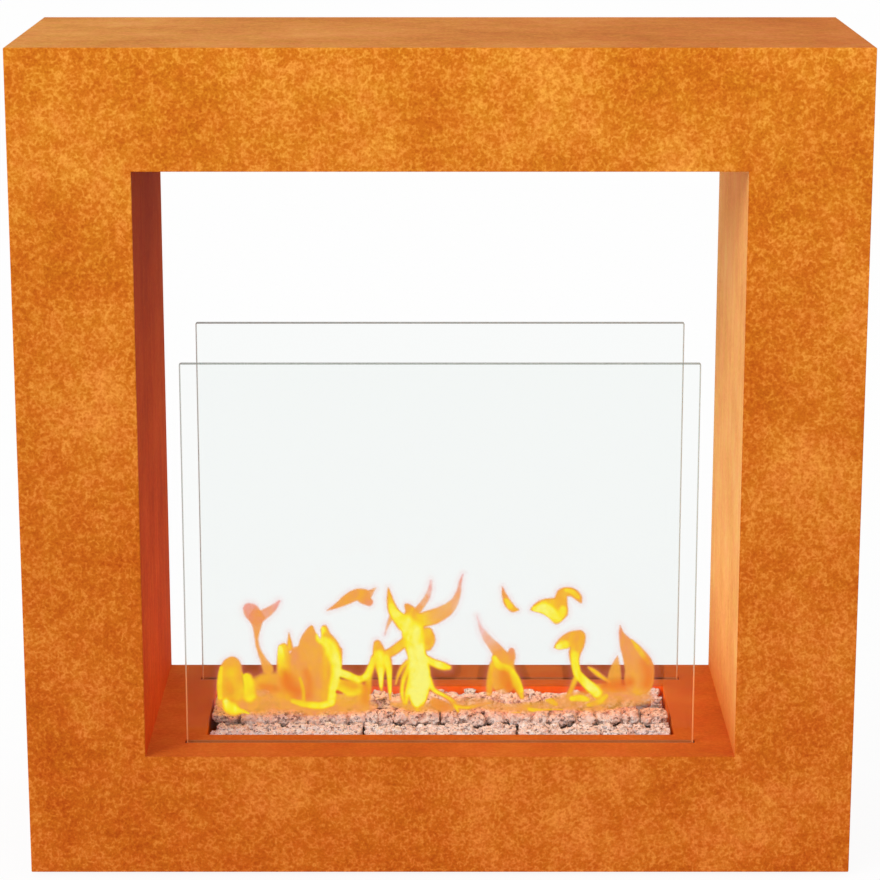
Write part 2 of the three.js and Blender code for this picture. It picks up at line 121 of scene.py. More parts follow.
class Wire:
    """A node's output that takes part in Python sums; each sum adds its Math node."""

    def __init__(self, tree: "Tree", socket: bpy.types.NodeSocket) -> None:
        """Wraps a socket of the tree."""
        self.tree = tree
        self.socket = socket

    def _sum(self, operation: str, *values: "Value") -> "Wire":
        """Adds a Math node for the operation."""
        return self.tree.node("ShaderNodeMath", {"operation": operation}, dict(enumerate(values)))

    def __add__(self, other: "Value") -> "Wire":
        """self + other."""
        return self._sum("ADD", self, other)

    def __radd__(self, other: "Value") -> "Wire":
        """other + self."""
        return self._sum("ADD", other, self)

    def __sub__(self, other: "Value") -> "Wire":
        """self - other."""
        return self._sum("SUBTRACT", self, other)

    def __rsub__(self, other: "Value") -> "Wire":
        """other - self."""
        return self._sum("SUBTRACT", other, self)

    def __mul__(self, other: "Value") -> "Wire":
        """self * other."""
        return self._sum("MULTIPLY", self, other)

    def __truediv__(self, other: "Value") -> "Wire":
        """self / other."""
        return self._sum("DIVIDE", self, other)

    def __rtruediv__(self, other: "Value") -> "Wire":
        """other / self."""
        return self._sum("DIVIDE", other, self)

    def __pow__(self, other: "Value") -> "Wire":
        """self to the power of other."""
        return self._sum("POWER", self, other)

    def __mod__(self, other: "Value") -> "Wire":
        """The rest of self over other."""
        return self._sum("MODULO", self, other)

    def __abs__(self) -> "Wire":
        """The size of self without its sign."""
        return self._sum("ABSOLUTE", self)

    def floor(self) -> "Wire":
        """The whole number below."""
        return self._sum("FLOOR", self)

    def least(self, other: "Value") -> "Wire":
        """The smaller of the two."""
        return self._sum("MINIMUM", self, other)

    def most(self, other: "Value") -> "Wire":
        """The larger of the two."""
        return self._sum("MAXIMUM", self, other)

    def held(self, low: float = 0.0, high: float = 1.0) -> "Wire":
        """The value kept between low and high."""
        return self.most(low).least(high)

    def spread(self, low: float, high: float) -> "Wire":
        """The value stretched so that low becomes 0 and high 1, and held there."""
        return ((self - low) / (high - low)).held()


Value = Wire | float | int | tuple


class Tree:
    """A node tree that is built by calls, with one method that makes any node."""

    def __init__(self, nodes: bpy.types.NodeTree) -> None:
        """Empties the tree."""
        self.data = nodes
        nodes.nodes.clear()

    def node(
        self,
        kind: str,
        settings: dict | None = None,
        inputs: dict | None = None,
        output: int | str = 0,
    ) -> Wire:
        """Makes a node.

        Args:
            kind: The node's type.
            settings: Its own properties, set first. The key "stops" holds a ramp's stops.
            inputs: Values or links of its sockets, by name or number.
            output: The output that is returned.

        Returns:
            The output, ready for sums.
        """
        made = self.data.nodes.new(kind)
        for name, value in (settings or {}).items():
            if name == "stops":
                self._set_stops(made.color_ramp, value)
            else:
                setattr(made, name, value)
        for name, value in (inputs or {}).items():
            self.join(value, made.inputs[name])
        return Wire(self, made.outputs[output]) if made.outputs else Wire(self, None)

    def join(self, value: Value, socket: bpy.types.NodeSocket) -> None:
        """Links a wire to a socket, or sets the socket's own value.

        Args:
            value: A wire, or a plain value.
            socket: The input it feeds.
        """
        if isinstance(value, Wire):
            self.data.links.new(value.socket, socket)
        else:
            socket.default_value = value

    @staticmethod
    def _set_stops(ramp: bpy.types.ColorRamp, stops: Sequence[tuple[float, Colour]]) -> None:
        """Gives a colour ramp its stops.

        Args:
            ramp: The ramp.
            stops: Place and colour of each stop.
        """
        while len(ramp.elements) > 1:
            ramp.elements.remove(ramp.elements[-1])
        ramp.elements[0].position, ramp.elements[0].color = stops[0]
        for place, colour in stops[1:]:
            ramp.elements.new(place).color = colour

    def xyz(self, vector: Wire) -> tuple[Wire, Wire, Wire]:
        """The three numbers of a vector."""
        split = self.node("ShaderNodeSeparateXYZ", inputs={0: vector}).socket.node
        return tuple(Wire(self, out) for out in split.outputs)

    def vector(self, x: Value, y: Value, z: Value) -> Wire:
        """A vector from three numbers."""
        return self.node("ShaderNodeCombineXYZ", inputs={0: x, 1: y, 2: z})

    def geometry(self, operation: str, *values: Value, output: int | str = 0) -> Wire:
        """A Vector Math node.

        Args:
            operation: What it does.
            values: Its inputs, in order.
            output: The output that is returned.

        Returns:
            The output.
        """
        sockets = {i: value for i, value in enumerate(values)}
        if operation == "SCALE":
            sockets = {0: values[0], 3: values[1]}
        return self.node("ShaderNodeVectorMath", {"operation": operation}, sockets, output)

    def noise(self, place: Wire, scale: float, detail: float = 2.0, rough: float = 0.5) -> Wire:
        """Soft noise from 0 to 1, with so many lumps a metre."""
        inputs = {"Vector": place, "Scale": scale, "Detail": detail, "Roughness": rough}
        return self.node("ShaderNodeTexNoise", {"noise_dimensions": "3D"}, inputs)


class Paint(Tree):
    """A material's tree, with its Principled shader."""

    def __init__(self, name: str) -> None:
        """Makes an empty material.

        Args:
            name: The material's name.
        """
        self.material = bpy.data.materials.new(name)
        self.material.use_nodes = True
        super().__init__(self.material.node_tree)
        self.place = self.node("ShaderNodeTexCoord", output="Object")

    def stretched(self, x: float, y: float, z: float) -> Wire:
        """The place on the object, scaled along each axis."""
        inputs = {"Vector": self.place, "Scale": (x, y, z)}
        return self.node("ShaderNodeMapping", {"vector_type": "POINT"}, inputs)

    def ramp(self, value: Wire, stops: Sequence[tuple[float, Colour]]) -> Wire:
        """A colour read from stops."""
        return self.node("ShaderNodeValToRGB", {"stops": stops}, {0: value}, "Color")

    def mixed(self, share: Value, first: Value, second: Value, how: str = "MIX") -> Wire:
        """Two colours mixed."""
        settings = {"data_type": "RGBA", "blend_type": how, "clamp_factor": True}
        return self.node("ShaderNodeMix", settings, {0: share, 6: first, 7: second}, 2)

    def attribute(self, name: str) -> Wire:
        """A number stored on the mesh."""
        settings = {"attribute_type": "GEOMETRY", "attribute_name": name}
        return self.node("ShaderNodeAttribute", settings, output="Fac")

    def bump(self, height: Wire, strength: float, distance: float) -> Wire:
        """A bumped normal."""
        inputs = {"Strength": strength, "Distance": distance, "Height": height}
        return self.node("ShaderNodeBump", inputs=inputs)

    def finish(self, inputs: dict) -> bpy.types.Material:
        """Ends the tree in one Principled shader."""
        return self.end(self.node("ShaderNodeBsdfPrincipled", inputs=inputs))

    def end(self, shader: Wire) -> bpy.types.Material:
        """Ends the tree in the shader."""
        self.node("ShaderNodeOutputMaterial", inputs={"Surface": shader})
        return self.material


# ---------------------------------------------------------------------------------------------------
# Finishes
# ---------------------------------------------------------------------------------------------------


@dataclass(frozen=True)
class WeatheringSteel:
    """Rust-skinned steel: pale squiggles and fine grains on darker rust and blotches, with painted shade by
    height and across, darker and redder at the foot.
    """

    name: str
    dark: Colour = srgb(184, 90, 16)
    body: Colour = srgb(212, 124, 28)
    light: Colour = srgb(246, 170, 66)
    head: Colour = WHITE  # painted shade: multiplies the colour at the top of the casing
    foot: Colour = srgb(236, 211, 228)  # painted shade: multiplies it at the floor
    right: Colour = WHITE  # painted shade: multiplies it at the right-hand side
    redder: Colour = srgb(255, 240, 255)  # multiplies it in wide, soft patches of redder rust
    squiggles: float = 128.0  # lumps a metre, as for the next three
    grains: float = 330.0
    blotches: float = 46.0
    drifts: float = 7.0
    contrast: float = 1.0
    streaks: float = 0.0
    roughness: float = 0.8
    low: float = 0.0  # heights between which the painted shade at the foot passes to the head's
    high: float = 1.03
    rise: float = 1.8

    def material(self) -> bpy.types.Material:
        """Makes the material.

        Returns:
            The material.
        """
        paint = Paint(self.name)
        squiggle = (1.0 - abs(paint.noise(paint.place, self.squiggles, 1.2, 0.6) - 0.5) * 5.6).held()
        breaks = paint.noise(paint.place, self.squiggles * 1.3, 1.0).spread(0.34, 0.6)
        grain = paint.noise(paint.place, self.grains, 2.0, 0.7)
        blotch = paint.noise(paint.place, self.blotches, 3.0, 0.6)
        drift = paint.noise(paint.place, self.drifts, 3.0, 0.55)
        mottle = squiggle * breaks * 0.36 + (grain - 0.5) * 0.74 + (blotch - 0.5) * 0.42
        tone = mottle * self.contrast + (drift - 0.5) * 0.85 + 0.41
        if self.streaks:
            run = paint.noise(paint.stretched(60.0, 60.0, 3.0), 1.0, 3.0, 0.6)
            tone = tone + (run - 0.5) * self.streaks
        colour = paint.ramp(tone, [(0.1, self.dark), (0.48, self.body), (0.95, self.light)])
        warm = paint.noise(paint.place, self.blotches * 0.7, 2.0).spread(0.35, 0.65)
        colour = paint.mixed(warm, colour, paint.mixed(1.0, colour, self.redder, "MULTIPLY"))
        # painted shade: the foot's and head's colours by height, and the right-hand side's across the casing,
        # multiply the rust
        x, _, z = paint.xyz(paint.place)
        upright = paint.mixed(z.spread(self.low, self.high) ** self.rise, self.foot, self.head)
        low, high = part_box("front_face")
        level = paint.mixed(x.spread(low.x, high.x), WHITE, self.right)
        shade = paint.mixed(1.0, upright, level, "MULTIPLY")
        colour = paint.mixed(1.0, colour, shade, "MULTIPLY")
        relief = grain * 0.6 + squiggle * 0.4
        return paint.finish(
            {
                "Base Color": colour,
                "Roughness": (grain - 0.5) * 0.2 + self.roughness,
                "Specular IOR Level": 0.03,
                "Normal": paint.bump(relief, 0.25, 0.4 * MM),
            }
        )


@dataclass(frozen=True)
class ClearGlass:
    """Clear toughened glass, seen through without bending."""

    name: str = "clear_glass"
    tint: Colour = (0.978, 0.985, 0.982, 1.0)
    index: float = 1.45
    gloss: float = 0.3  # share of the true mirror that the studio's matt walls leave

    def material(self) -> bpy.types.Material:
        """Makes the material.

        Returns:
            The material.
        """
        paint = Paint(self.name)
        clear = paint.node("ShaderNodeBsdfTransparent", inputs={"Color": self.tint})
        gloss = paint.node("ShaderNodeBsdfGlossy", inputs={"Roughness": 0.02})
        outside = 1.0 - paint.node("ShaderNodeNewGeometry", output="Backfacing")
        share = paint.node("ShaderNodeFresnel", inputs={"IOR": self.index}) * outside
        share = share * (paint.noise(paint.place, 2.0) * 0.1 + 0.95) * self.gloss
        return paint.end(paint.node("ShaderNodeMixShader", inputs={0: share, 1: clear, 2: gloss}))


@dataclass(frozen=True)
class GroundGlass:
    """The ground edge of a pane: grey-green, with painted shade on its upward face and a painted reflection
    of the steel that it stands in, near its foot.
    """

    name: str = "ground_glass_edge"
    # painted shade: the upward face's darker colour
    upper: Colour = srgb(128, 140, 132)
    side: Colour = srgb(178, 192, 184)
    # painted reflection: the orange steel that the pane stands in
    warm: Colour = srgb(250, 178, 116)
    warm_to: tuple[float, float] = (0.205, 0.237)  # height where the painted reflection of the steel ends, on the middle plane
    slope: float = 0.33  # how much lower it ends for each metre further back

    def material(self) -> bpy.types.Material:
        """Makes the material.

        Returns:
            The material.
        """
        paint = Paint(self.name)
        cloud = paint.noise(paint.place, 120.0, 3.0, 0.6)
        # painted shade on the upward face, painted reflection of the steel low down
        facing = paint.node("ShaderNodeNewGeometry", output="Normal")
        upward = paint.xyz(facing)[2].held()
        _, y, z = paint.xyz(paint.place)
        high = (z + y * self.slope).spread(*self.warm_to)
        side = paint.mixed(high, self.warm, self.side)
        colour = paint.mixed(upward, side, self.upper)
        return paint.finish(
            {
                "Base Color": colour,
                "Roughness": cloud * 0.15 + 0.3,
                "Alpha": cloud * 0.1 + upward * 0.3 + (1.0 - high) * 0.35 + 0.5,
                "Specular IOR Level": 0.3,
            }
        )


@dataclass(frozen=True)
class Granite:
    """Broken granite: chalky and pink feldspar with grey quartz and sparse dark mica, and the fire's glow
    painted on the stones near the mouth.
    """

    name: str = "broken_granite"
    mica: Colour = srgb(134, 112, 110)
    grey: Colour = srgb(176, 166, 168)
    quartz: Colour = srgb(220, 213, 216)
    pink: Colour = srgb(242, 206, 194)
    chalk: Colour = srgb(252, 250, 252)
    blush: Colour = srgb(255, 228, 214)
    # painted light: the fire's glow on the stones
    glow: Colour = srgb(255, 214, 184)
    flecks: float = 340.0  # mineral grains a metre
    waver: float = 600.0  # bends in their outlines a metre, and how far they go
    waver_depth: float = 0.0025
    mouth_reach: float = 0.085  # how far from the mouth's line the stones take the painted fire glow
    mouth_line: float = -0.01
    warm_height: tuple[float, float] = (0.150, 0.170)

    def material(self) -> bpy.types.Material:
        """Makes the material.

        Returns:
            The material.
        """
        paint = Paint(self.name)
        tint = paint.attribute("tint")
        bend = {"Vector": paint.place, "Scale": self.waver}
        wobble = paint.node("ShaderNodeTexNoise", inputs=bend, output="Color")
        spot = paint.geometry("ADD", paint.place, paint.geometry("SCALE", wobble, self.waver_depth))
        cell = {"Vector": spot, "Scale": self.flecks}
        chance = paint.xyz(paint.node("ShaderNodeTexVoronoi", inputs=cell, output="Color"))[0]
        fine = paint.noise(paint.place, 900.0, 2.0, 0.7)
        vein = paint.noise(paint.place, 160.0, 2.0, 0.6)
        tone = chance * 0.95 + (fine - 0.5) * 0.7 + (vein - 0.5) * 0.8 + (tint - 0.5) * 0.16 + 0.06
        grains = [self.mica, self.grey, self.quartz, self.chalk, self.pink, self.chalk]
        stops = [0.0, 0.13, 0.27, 0.46, 0.66, 0.86]
        colour = paint.ramp(tone, list(zip(stops, grains)))
        other_chance = (tint * 7.3) % 1.0
        colour = paint.mixed(other_chance * 0.7, colour, self.blush, "MULTIPLY")
        # painted light: stones near the mouth and high in the bed take the fire's glow
        _, y, z = paint.xyz(paint.place)
        near = 1.0 - (abs(y - self.mouth_line) / self.mouth_reach).held()
        warmth = near * z.spread(*self.warm_height)
        colour = paint.mixed(warmth, colour, self.glow, "MULTIPLY")
        return paint.finish(
            {
                "Base Color": colour,
                "Roughness": 0.95 - chance * 0.2,
                "Specular IOR Level": 0.2,
                "Normal": paint.bump(fine * 0.5 + chance * 0.5, 0.5, 0.8 * MM),
            }
        )


@dataclass(frozen=True)
class Metal:
    """Bare metal, brushed along X, with a heat tint near the fire or a spangled coat."""

    name: str
    bright: Colour
    dull: Colour
    tinted: Colour
    roughness: float = 0.3
    heat_reach: float = 0.0
    spangle: float = 0.0

    def material(self) -> bpy.types.Material:
        """Makes the material.

        Returns:
            The material.
        """
        paint = Paint(self.name)
        brushed = paint.noise(paint.stretched(8.0, 900.0, 900.0), 1.0, 3.0, 0.6)
        smear = paint.noise(paint.place, 30.0, 3.0, 0.6)
        colour = paint.ramp(brushed * 0.6 + smear * 0.4, [(0.3, self.dull), (0.7, self.bright)])
        rough = brushed * 0.16 + smear * 0.1 + self.roughness
        if self.heat_reach:
            across = abs(paint.xyz(paint.place)[1]) / self.heat_reach
            warm = (1.0 - across + (smear - 0.5) * 0.6).held()
            colour = paint.mixed(warm, colour, self.tinted)
        if self.spangle:
            inputs = {"Vector": paint.place, "Scale": self.spangle}
            flake = paint.xyz(paint.node("ShaderNodeTexVoronoi", inputs=inputs, output="Color"))[0]
            colour = paint.mixed(flake * 0.5, colour, self.tinted)
            rough = rough + flake * 0.15
        return paint.finish(
            {
                "Base Color": colour,
                "Metallic": 1.0,
                "Roughness": rough,
                "Normal": paint.bump(brushed, 0.12, 0.1 * MM),
            }
        )


@dataclass(frozen=True)
class Matte:
    """A dull, grained surface: moulded plastic, rubber or ceramic fibre."""

    name: str
    deep: Colour
    pale: Colour
    grains: float
    roughness: float
    relief: float = 0.2

    def material(self) -> bpy.types.Material:
        """Makes the material.

        Returns:
            The material.
        """
        paint = Paint(self.name)
        grain = paint.noise(paint.place, self.grains, 4.0, 0.65)
        drift = paint.noise(paint.place, self.grains / 12, 2.0)
        colour = paint.ramp(grain * 0.6 + drift * 0.4, [(0.3, self.deep), (0.7, self.pale)])
        return paint.finish(
            {
                "Base Color": colour,
                "Roughness": (grain - 0.5) * 0.2 + self.roughness,
                "Specular IOR Level": 0.3,
                "Normal": paint.bump(grain, self.relief, 0.3 * MM),
            }
        )


@dataclass(frozen=True)
class Flame:
    """Burning alcohol: its light by heat, from pink wisps to a yellow core, and a soft veil."""

    name: str = "ethanol_flame"
    colours: tuple[tuple[float, Colour], ...] = (
        (0.0, srgb(247, 128, 132)),
        (0.1, srgb(242, 146, 118)),
        (0.25, srgb(244, 156, 82)),
        (0.48, srgb(249, 176, 50)),
        (0.66, srgb(253, 208, 38)),
        (0.84, srgb(255, 236, 40)),
        (1.0, srgb(255, 247, 120)),
    )
    ember: Colour = srgb(240, 116, 36)
    patches: float = 95.0  # thin and dense spots a metre
    swirls: Corner = (70.0, 40.0, 26.0)  # hot and cool swirls a metre, along each axis
    patchy: float = 3.4  # how much more uneven the thin parts are than the dense ones

    def material(self) -> bpy.types.Material:
        """Makes the material.

        Returns:
            The material.
        """
        paint = Paint(self.name)
        heat = paint.attribute("warmth")
        veil = paint.attribute("veil")
        bend = paint.node("ShaderNodeTexNoise", inputs={"Vector": paint.place, "Scale": 22.0}, output="Color")
        warped = paint.geometry("ADD", paint.stretched(*self.swirls), paint.geometry("SCALE", bend, 3.0))
        swirl = paint.noise(warped, 1.0, 3.0, 0.55)
        patch = paint.noise(paint.place, self.patches, 3.0, 0.6)
        glow = heat + (swirl - 0.5) * 0.5
        colour = paint.ramp(glow.held(), self.colours)
        ember = (paint.attribute("ember") * (0.55 + patch)).held()
        colour = paint.mixed(ember, colour, self.ember)
        made = paint.finish(
            {
                "Base Color": (0.0, 0.0, 0.0, 1.0),
                "Roughness": 1.0,
                "Specular IOR Level": 0.0,
                "Emission Color": colour,
                "Emission Strength": 1.0,
                "Alpha": (veil + (patch - 0.5) * veil * (1.0 - veil) * self.patchy).held(),
            }
        )
        made.cycles.emission_sampling = "NONE"
        return made


class Skin(Enum):
    """The rust skins of the casing's sheets, by how they weathered, in lit, shaded and fire-lit copies that
    paint the light each sheet gets.
    """

    FACE = WeatheringSteel("rust_face")
    # painted shade: darker towards the right of the top, away from the key light
    TOP = WeatheringSteel(
        "rust_top",
        dark=srgb(186, 114, 44),
        body=srgb(214, 146, 66),
        light=srgb(234, 172, 98),
        right=srgb(238, 208, 196),
        contrast=0.55,
        streaks=0.3,
    )
    # painted shade: the left reveal turns from the key light, so this copy is darker and redder, and its head
    # darkens it further towards the soffit
    LEFT = WeatheringSteel(
        "rust_left_reveal",
        dark=srgb(176, 60, 12),
        body=srgb(206, 82, 18),
        light=srgb(228, 106, 34),
        head=srgb(158, 164, 222),
        foot=srgb(255, 250, 255),
        contrast=0.5,
        streaks=0.5,
    )
    # painted light: the right reveal faces the key light, so this copy is paler, painted light and sheen; its
    # foot is painted shade near the hearth
    RIGHT = WeatheringSteel(
        "rust_right_reveal",
        dark=srgb(228, 162, 84),
        body=srgb(246, 190, 108),
        light=srgb(252, 212, 136),
        foot=srgb(226, 172, 126),
        low=0.162,  # the hearth, where the painted shade at the foot is deepest
        high=0.31,
        rise=0.7,
        contrast=0.5,
        streaks=0.5,
    )
    HEARTH = WeatheringSteel(
        "rust_hearth",
        dark=srgb(180, 80, 22),
        body=srgb(207, 106, 34),
        light=srgb(230, 134, 58),
        foot=WHITE,
        contrast=0.42,
    )
    # painted light: a redder copy near full red that stands for the fire's glow on the recess walls, together
    # with the fire lamps
    RECESS = WeatheringSteel(
        "rust_recess",
        dark=srgb(226, 84, 18),
        body=srgb(250, 114, 28),
        light=srgb(255, 138, 46),
        foot=WHITE,
        contrast=0.6,
    )


Finish = WeatheringSteel | ClearGlass | GroundGlass | Granite | Metal | Matte | Flame

STAINLESS = Metal(
    "brushed_stainless",
    bright=srgb(206, 203, 198),
    dull=srgb(160, 157, 152),
    tinted=srgb(168, 118, 66),
)
HOT_STAINLESS = Metal(
    "heat_tinted_stainless",
    bright=srgb(200, 194, 186),
    dull=srgb(150, 145, 140),
    tinted=srgb(150, 96, 62),
    heat_reach=0.045,
)
ZINC = Metal(
    "zinc_coated_steel",
    bright=srgb(200, 203, 206),
    dull=srgb(164, 168, 170),
    tinted=srgb(226, 228, 224),
    roughness=0.36,
    spangle=160.0,
)
SEAL = Matte("seal_silicone", srgb(190, 104, 52), srgb(206, 124, 70), 500.0, 0.6)
FOOT_PLASTIC = Matte("foot_plastic", srgb(26, 26, 27), srgb(44, 44, 45), 900.0, 0.55)
WOOL = Matte("ceramic_wool", srgb(198, 188, 172), srgb(240, 236, 226), 160.0, 0.96, 0.7)


# ---------------------------------------------------------------------------------------------------
# Mesh work
# ---------------------------------------------------------------------------------------------------


class Workshop:
    """Makes pieces from the frame's nodes and hands them over to it."""

    def __init__(self, frame: dict) -> None:
        """Keeps the frame.
        """
        self.nodes: dict[str, bpy.types.Object] = frame["nodes"]
        self.body_of = {
            node: body for body, nodes in frame["record"]["behaviour"]["bodies"].items() for node in nodes
        }
        self.slot_of = {row["node"]: row["material_slot"] for row in frame["record"]["subparts"]}
        self.paints: dict[str, bpy.types.Material] = {}

    def paint(self, finish: Finish) -> bpy.types.Material:
        """The finish's material, made once.

        Args:
            finish: The finish.

        Returns:
            Its material.
        """
        if finish.name not in self.paints:
            self.paints[finish.name] = finish.material()
        return self.paints[finish.name]

    def welded(self, node: str) -> bmesh.types.BMesh:
        """A node's shape as one welded mesh with whole faces.

        Args:
            node: The node's name.

        Returns:
            The mesh.
        """
        shape = bmesh.new()
        shape.from_mesh(self.nodes[node].data)
        bmesh.ops.remove_doubles(shape, verts=shape.verts, dist=TOUCH)
        bmesh.ops.dissolve_limit(
            shape, angle_limit=math.radians(0.5), verts=shape.verts, edges=shape.edges
        )
        return shape

    def piece(
        self, name: str, shape: bmesh.types.BMesh, *finishes: Finish, smooth: float = 0.0
    ) -> bpy.types.Object:
        """Turns a mesh into an object.

        Args:
            name: The piece's name.
            shape: Its mesh, which is used up.
            finishes: The finishes of its material slots, in order.
            smooth: Edges flatter than this many degrees are shaded smooth; 0 leaves all flat.

        Returns:
            The object.
        """
        bmesh.ops.recalc_face_normals(shape, faces=shape.faces)
        mesh = bpy.data.meshes.new(name)
        shape.to_mesh(mesh)
        shape.free()
        for finish in finishes:
            mesh.materials.append(self.paint(finish))
        if smooth:
            mesh.shade_smooth()
            mesh.set_sharp_from_angle(angle=math.radians(smooth))
        return placed(bpy.data.objects.new(name, mesh))

    def stand_in(self, made: bpy.types.Object, node: str) -> None:
        """Lets a piece stand for a node, on the same body.

        Args:
            made: The piece.
            node: The node's name.
        """
        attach(made, self.body_of[node])
        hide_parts(node)
        LOG.info("%s stands for %s", made.name, node)

    def dress(self, finish: Finish, *nodes: str) -> None:
        """Gives nodes that keep their own shape a finish.

        Args:
            finish: The finish.
            nodes: Their names.
        """
        for node in nodes:
            mesh = self.nodes[node].data
            mesh.materials.clear()
            mesh.materials.append(self.paint(finish))
            LOG.info("%s keeps its shape, in %s", node, finish.name)


def lying_on(edge: bmesh.types.BMEdge, plane: Plane) -> bool:
    """True if both ends of the edge lie on the plane."""
    axis, place = plane
    return all(abs(vertex.co[axis] - place) < TOUCH for vertex in edge.verts)


def crossing(edge: bmesh.types.BMEdge, first: Iterable[Plane], second: Iterable[Plane]) -> bool:
    """True if the edge lies on one of the first planes and on another of the second.

    Args:
        edge: The edge.
        first, second: The two sets of planes.

    Returns:
        Whether it runs along such a corner.
    """
    ones = [plane for plane in first if lying_on(edge, plane)]
    twos = [plane for plane in second if lying_on(edge, plane)]
    return any(one[0] != two[0] for one in ones for two in twos)


def round_edges(
    shape: bmesh.types.BMesh, edges: list[bmesh.types.BMEdge], radius: float, segments: int
) -> None:
    """Rounds the edges over.

    Args:
        shape: The mesh.
        edges: Its edges to round.
        radius: How far they are rounded.
        segments: Faces across the rounding.
    """
    if edges:
        bmesh.ops.bevel(
            shape,
            geom=edges,
            offset=radius,
            offset_type="OFFSET",
            segments=segments,
            profile=0.5,
            affect="EDGES",
            clamp_overlap=True,
        )


def sharp_edges(shape: bmesh.types.BMesh) -> list[bmesh.types.BMEdge]:
    """The edges at which the surface folds sharply."""
    return [edge for edge in shape.edges if edge.is_manifold and edge.calc_face_angle() > SHARP]


def lofted(
    shape: bmesh.types.BMesh, rings: Sequence[list[bmesh.types.BMVert]]
) -> bmesh.types.BMesh:
    """Joins rings of as many points each by faces, and closes both ends.

    Args:
        shape: The mesh that holds the points.
        rings: The rings, from one end to the other.

    Returns:
        The same mesh.
    """
    for near, far in zip(rings, rings[1:]):
        for i, vertex in enumerate(near):
            j = (i + 1) % len(near)
            shape.faces.new((vertex, near[j], far[j], far[i]))
    shape.faces.new(rings[0])
    shape.faces.new(rings[-1])
    return shape


def turned(profile: Sequence[tuple[float, float]], centre: Corner, sides: int = 64) -> bmesh.types.BMesh:
    """A closed shape turned about Z.

    Args:
        profile: Radius and height of each point, from the axis back to the axis.
        centre: What radius and height are measured from.
        sides: Faces round the shape.

    Returns:
        The shape.
    """
    shape = bmesh.new()
    rings = []
    for radius, height in profile:
        if radius < TOUCH:
            rings.append([shape.verts.new((centre[0], centre[1], centre[2] + height))])
            continue
        angles = (2 * math.pi * i / sides for i in range(sides))
        around = ((radius * math.cos(angle), radius * math.sin(angle)) for angle in angles)
        rings.append([shape.verts.new((centre[0] + x, centre[1] + y, centre[2] + height)) for x, y in around])
    for low, high in zip(rings, rings[1:]):
        for i in range(sides):
            j = (i + 1) % sides
            corners = [low[i % len(low)], low[j % len(low)], high[j % len(high)], high[i % len(high)]]
            shape.faces.new(list(dict.fromkeys(corners)))
    return shape


def arc(
    centre: tuple[float, float], radius: float, start: float, end: float, steps: int = 5
) -> list[tuple[float, float]]:
    """Points of an arc in a profile, angles in degrees."""
    angles = (math.radians(start + (end - start) * i / steps) for i in range(steps + 1))
    return [(centre[0] + radius * math.cos(a), centre[1] + radius * math.sin(a)) for a in angles]


# ---------------------------------------------------------------------------------------------------
# Casing
# ---------------------------------------------------------------------------------------------------


@dataclass
class Casing:
    """The square portal of weathering steel, its sheets seamless and its corners softly rounded."""

    shop: Workshop
    edge_radius: float = 1.3 * MM
    rim_radius: float = 0.8 * MM
    edge_segments: int = 3
    skins: dict[str, Skin] = field(
        default_factory=lambda: {
            "front_face": Skin.FACE,
            "rear_face": Skin.FACE,
            "left_side": Skin.FACE,
            "right_side": Skin.FACE,
            "top_panel": Skin.TOP,
            "left_reveal": Skin.LEFT,
            "right_reveal": Skin.RIGHT,
            "soffit": Skin.FACE,
            "hearth_plate": Skin.HEARTH,
            "base_plate": Skin.FACE,
            "recess_box": Skin.RECESS,
        }
    )

    def __post_init__(self) -> None:
        """Reads the planes that the rounded edges lie on."""
        low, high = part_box("front_face")
        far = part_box("rear_face")[1]
        self.faces = [(1, low.y), (1, far.y)]
        self.outside = [(0, low.x), (0, high.x), (2, low.z), (2, high.z)]
        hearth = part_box("hearth_plate")[1]
        left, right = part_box("left_reveal"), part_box("right_reveal")
        self.opening = [(0, left[1].x), (0, right[0].x), (2, hearth.z), (2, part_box("soffit")[0].z)]
        self.hearth_top = [(2, hearth.z)]

    def build(self) -> None:
        """Makes every sheet."""
        for node, skin in self.skins.items():
            shape = self.shop.welded(node)
            self._round(shape, node)
            made = self.shop.piece(f"{node}_sheet", shape, skin.value)
            self.shop.stand_in(made, node)

    def _round(self, shape: bmesh.types.BMesh, node: str) -> None:
        """Rounds the sheet's edges that lie on the casing's own corners.

        Args:
            shape: The sheet's mesh.
            node: The sheet's node.
        """
        around = self.outside + self.faces
        outer = [edge for edge in shape.edges if crossing(edge, around, around)]
        outer += [edge for edge in shape.edges if crossing(edge, self.faces, self.opening)]
        round_edges(shape, outer, self.edge_radius, self.edge_segments)
        if node == "hearth_plate":
            walls = self._recess_walls()
            rim = [edge for edge in shape.edges if crossing(edge, self.hearth_top, walls)]
            round_edges(shape, rim, self.rim_radius, self.edge_segments)

    @staticmethod
    def _recess_walls() -> list[Plane]:
        """The four walls of the recess, where the hearth is cut out.

        Returns:
            The planes.
        """
        low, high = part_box("recess_box")
        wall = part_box("base_plate")[1].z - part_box("base_plate")[0].z
        return [(0, low.x + wall), (0, high.x - wall), (1, low.y + wall), (1, high.y - wall)]


# ---------------------------------------------------------------------------------------------------
# Glass
# ---------------------------------------------------------------------------------------------------


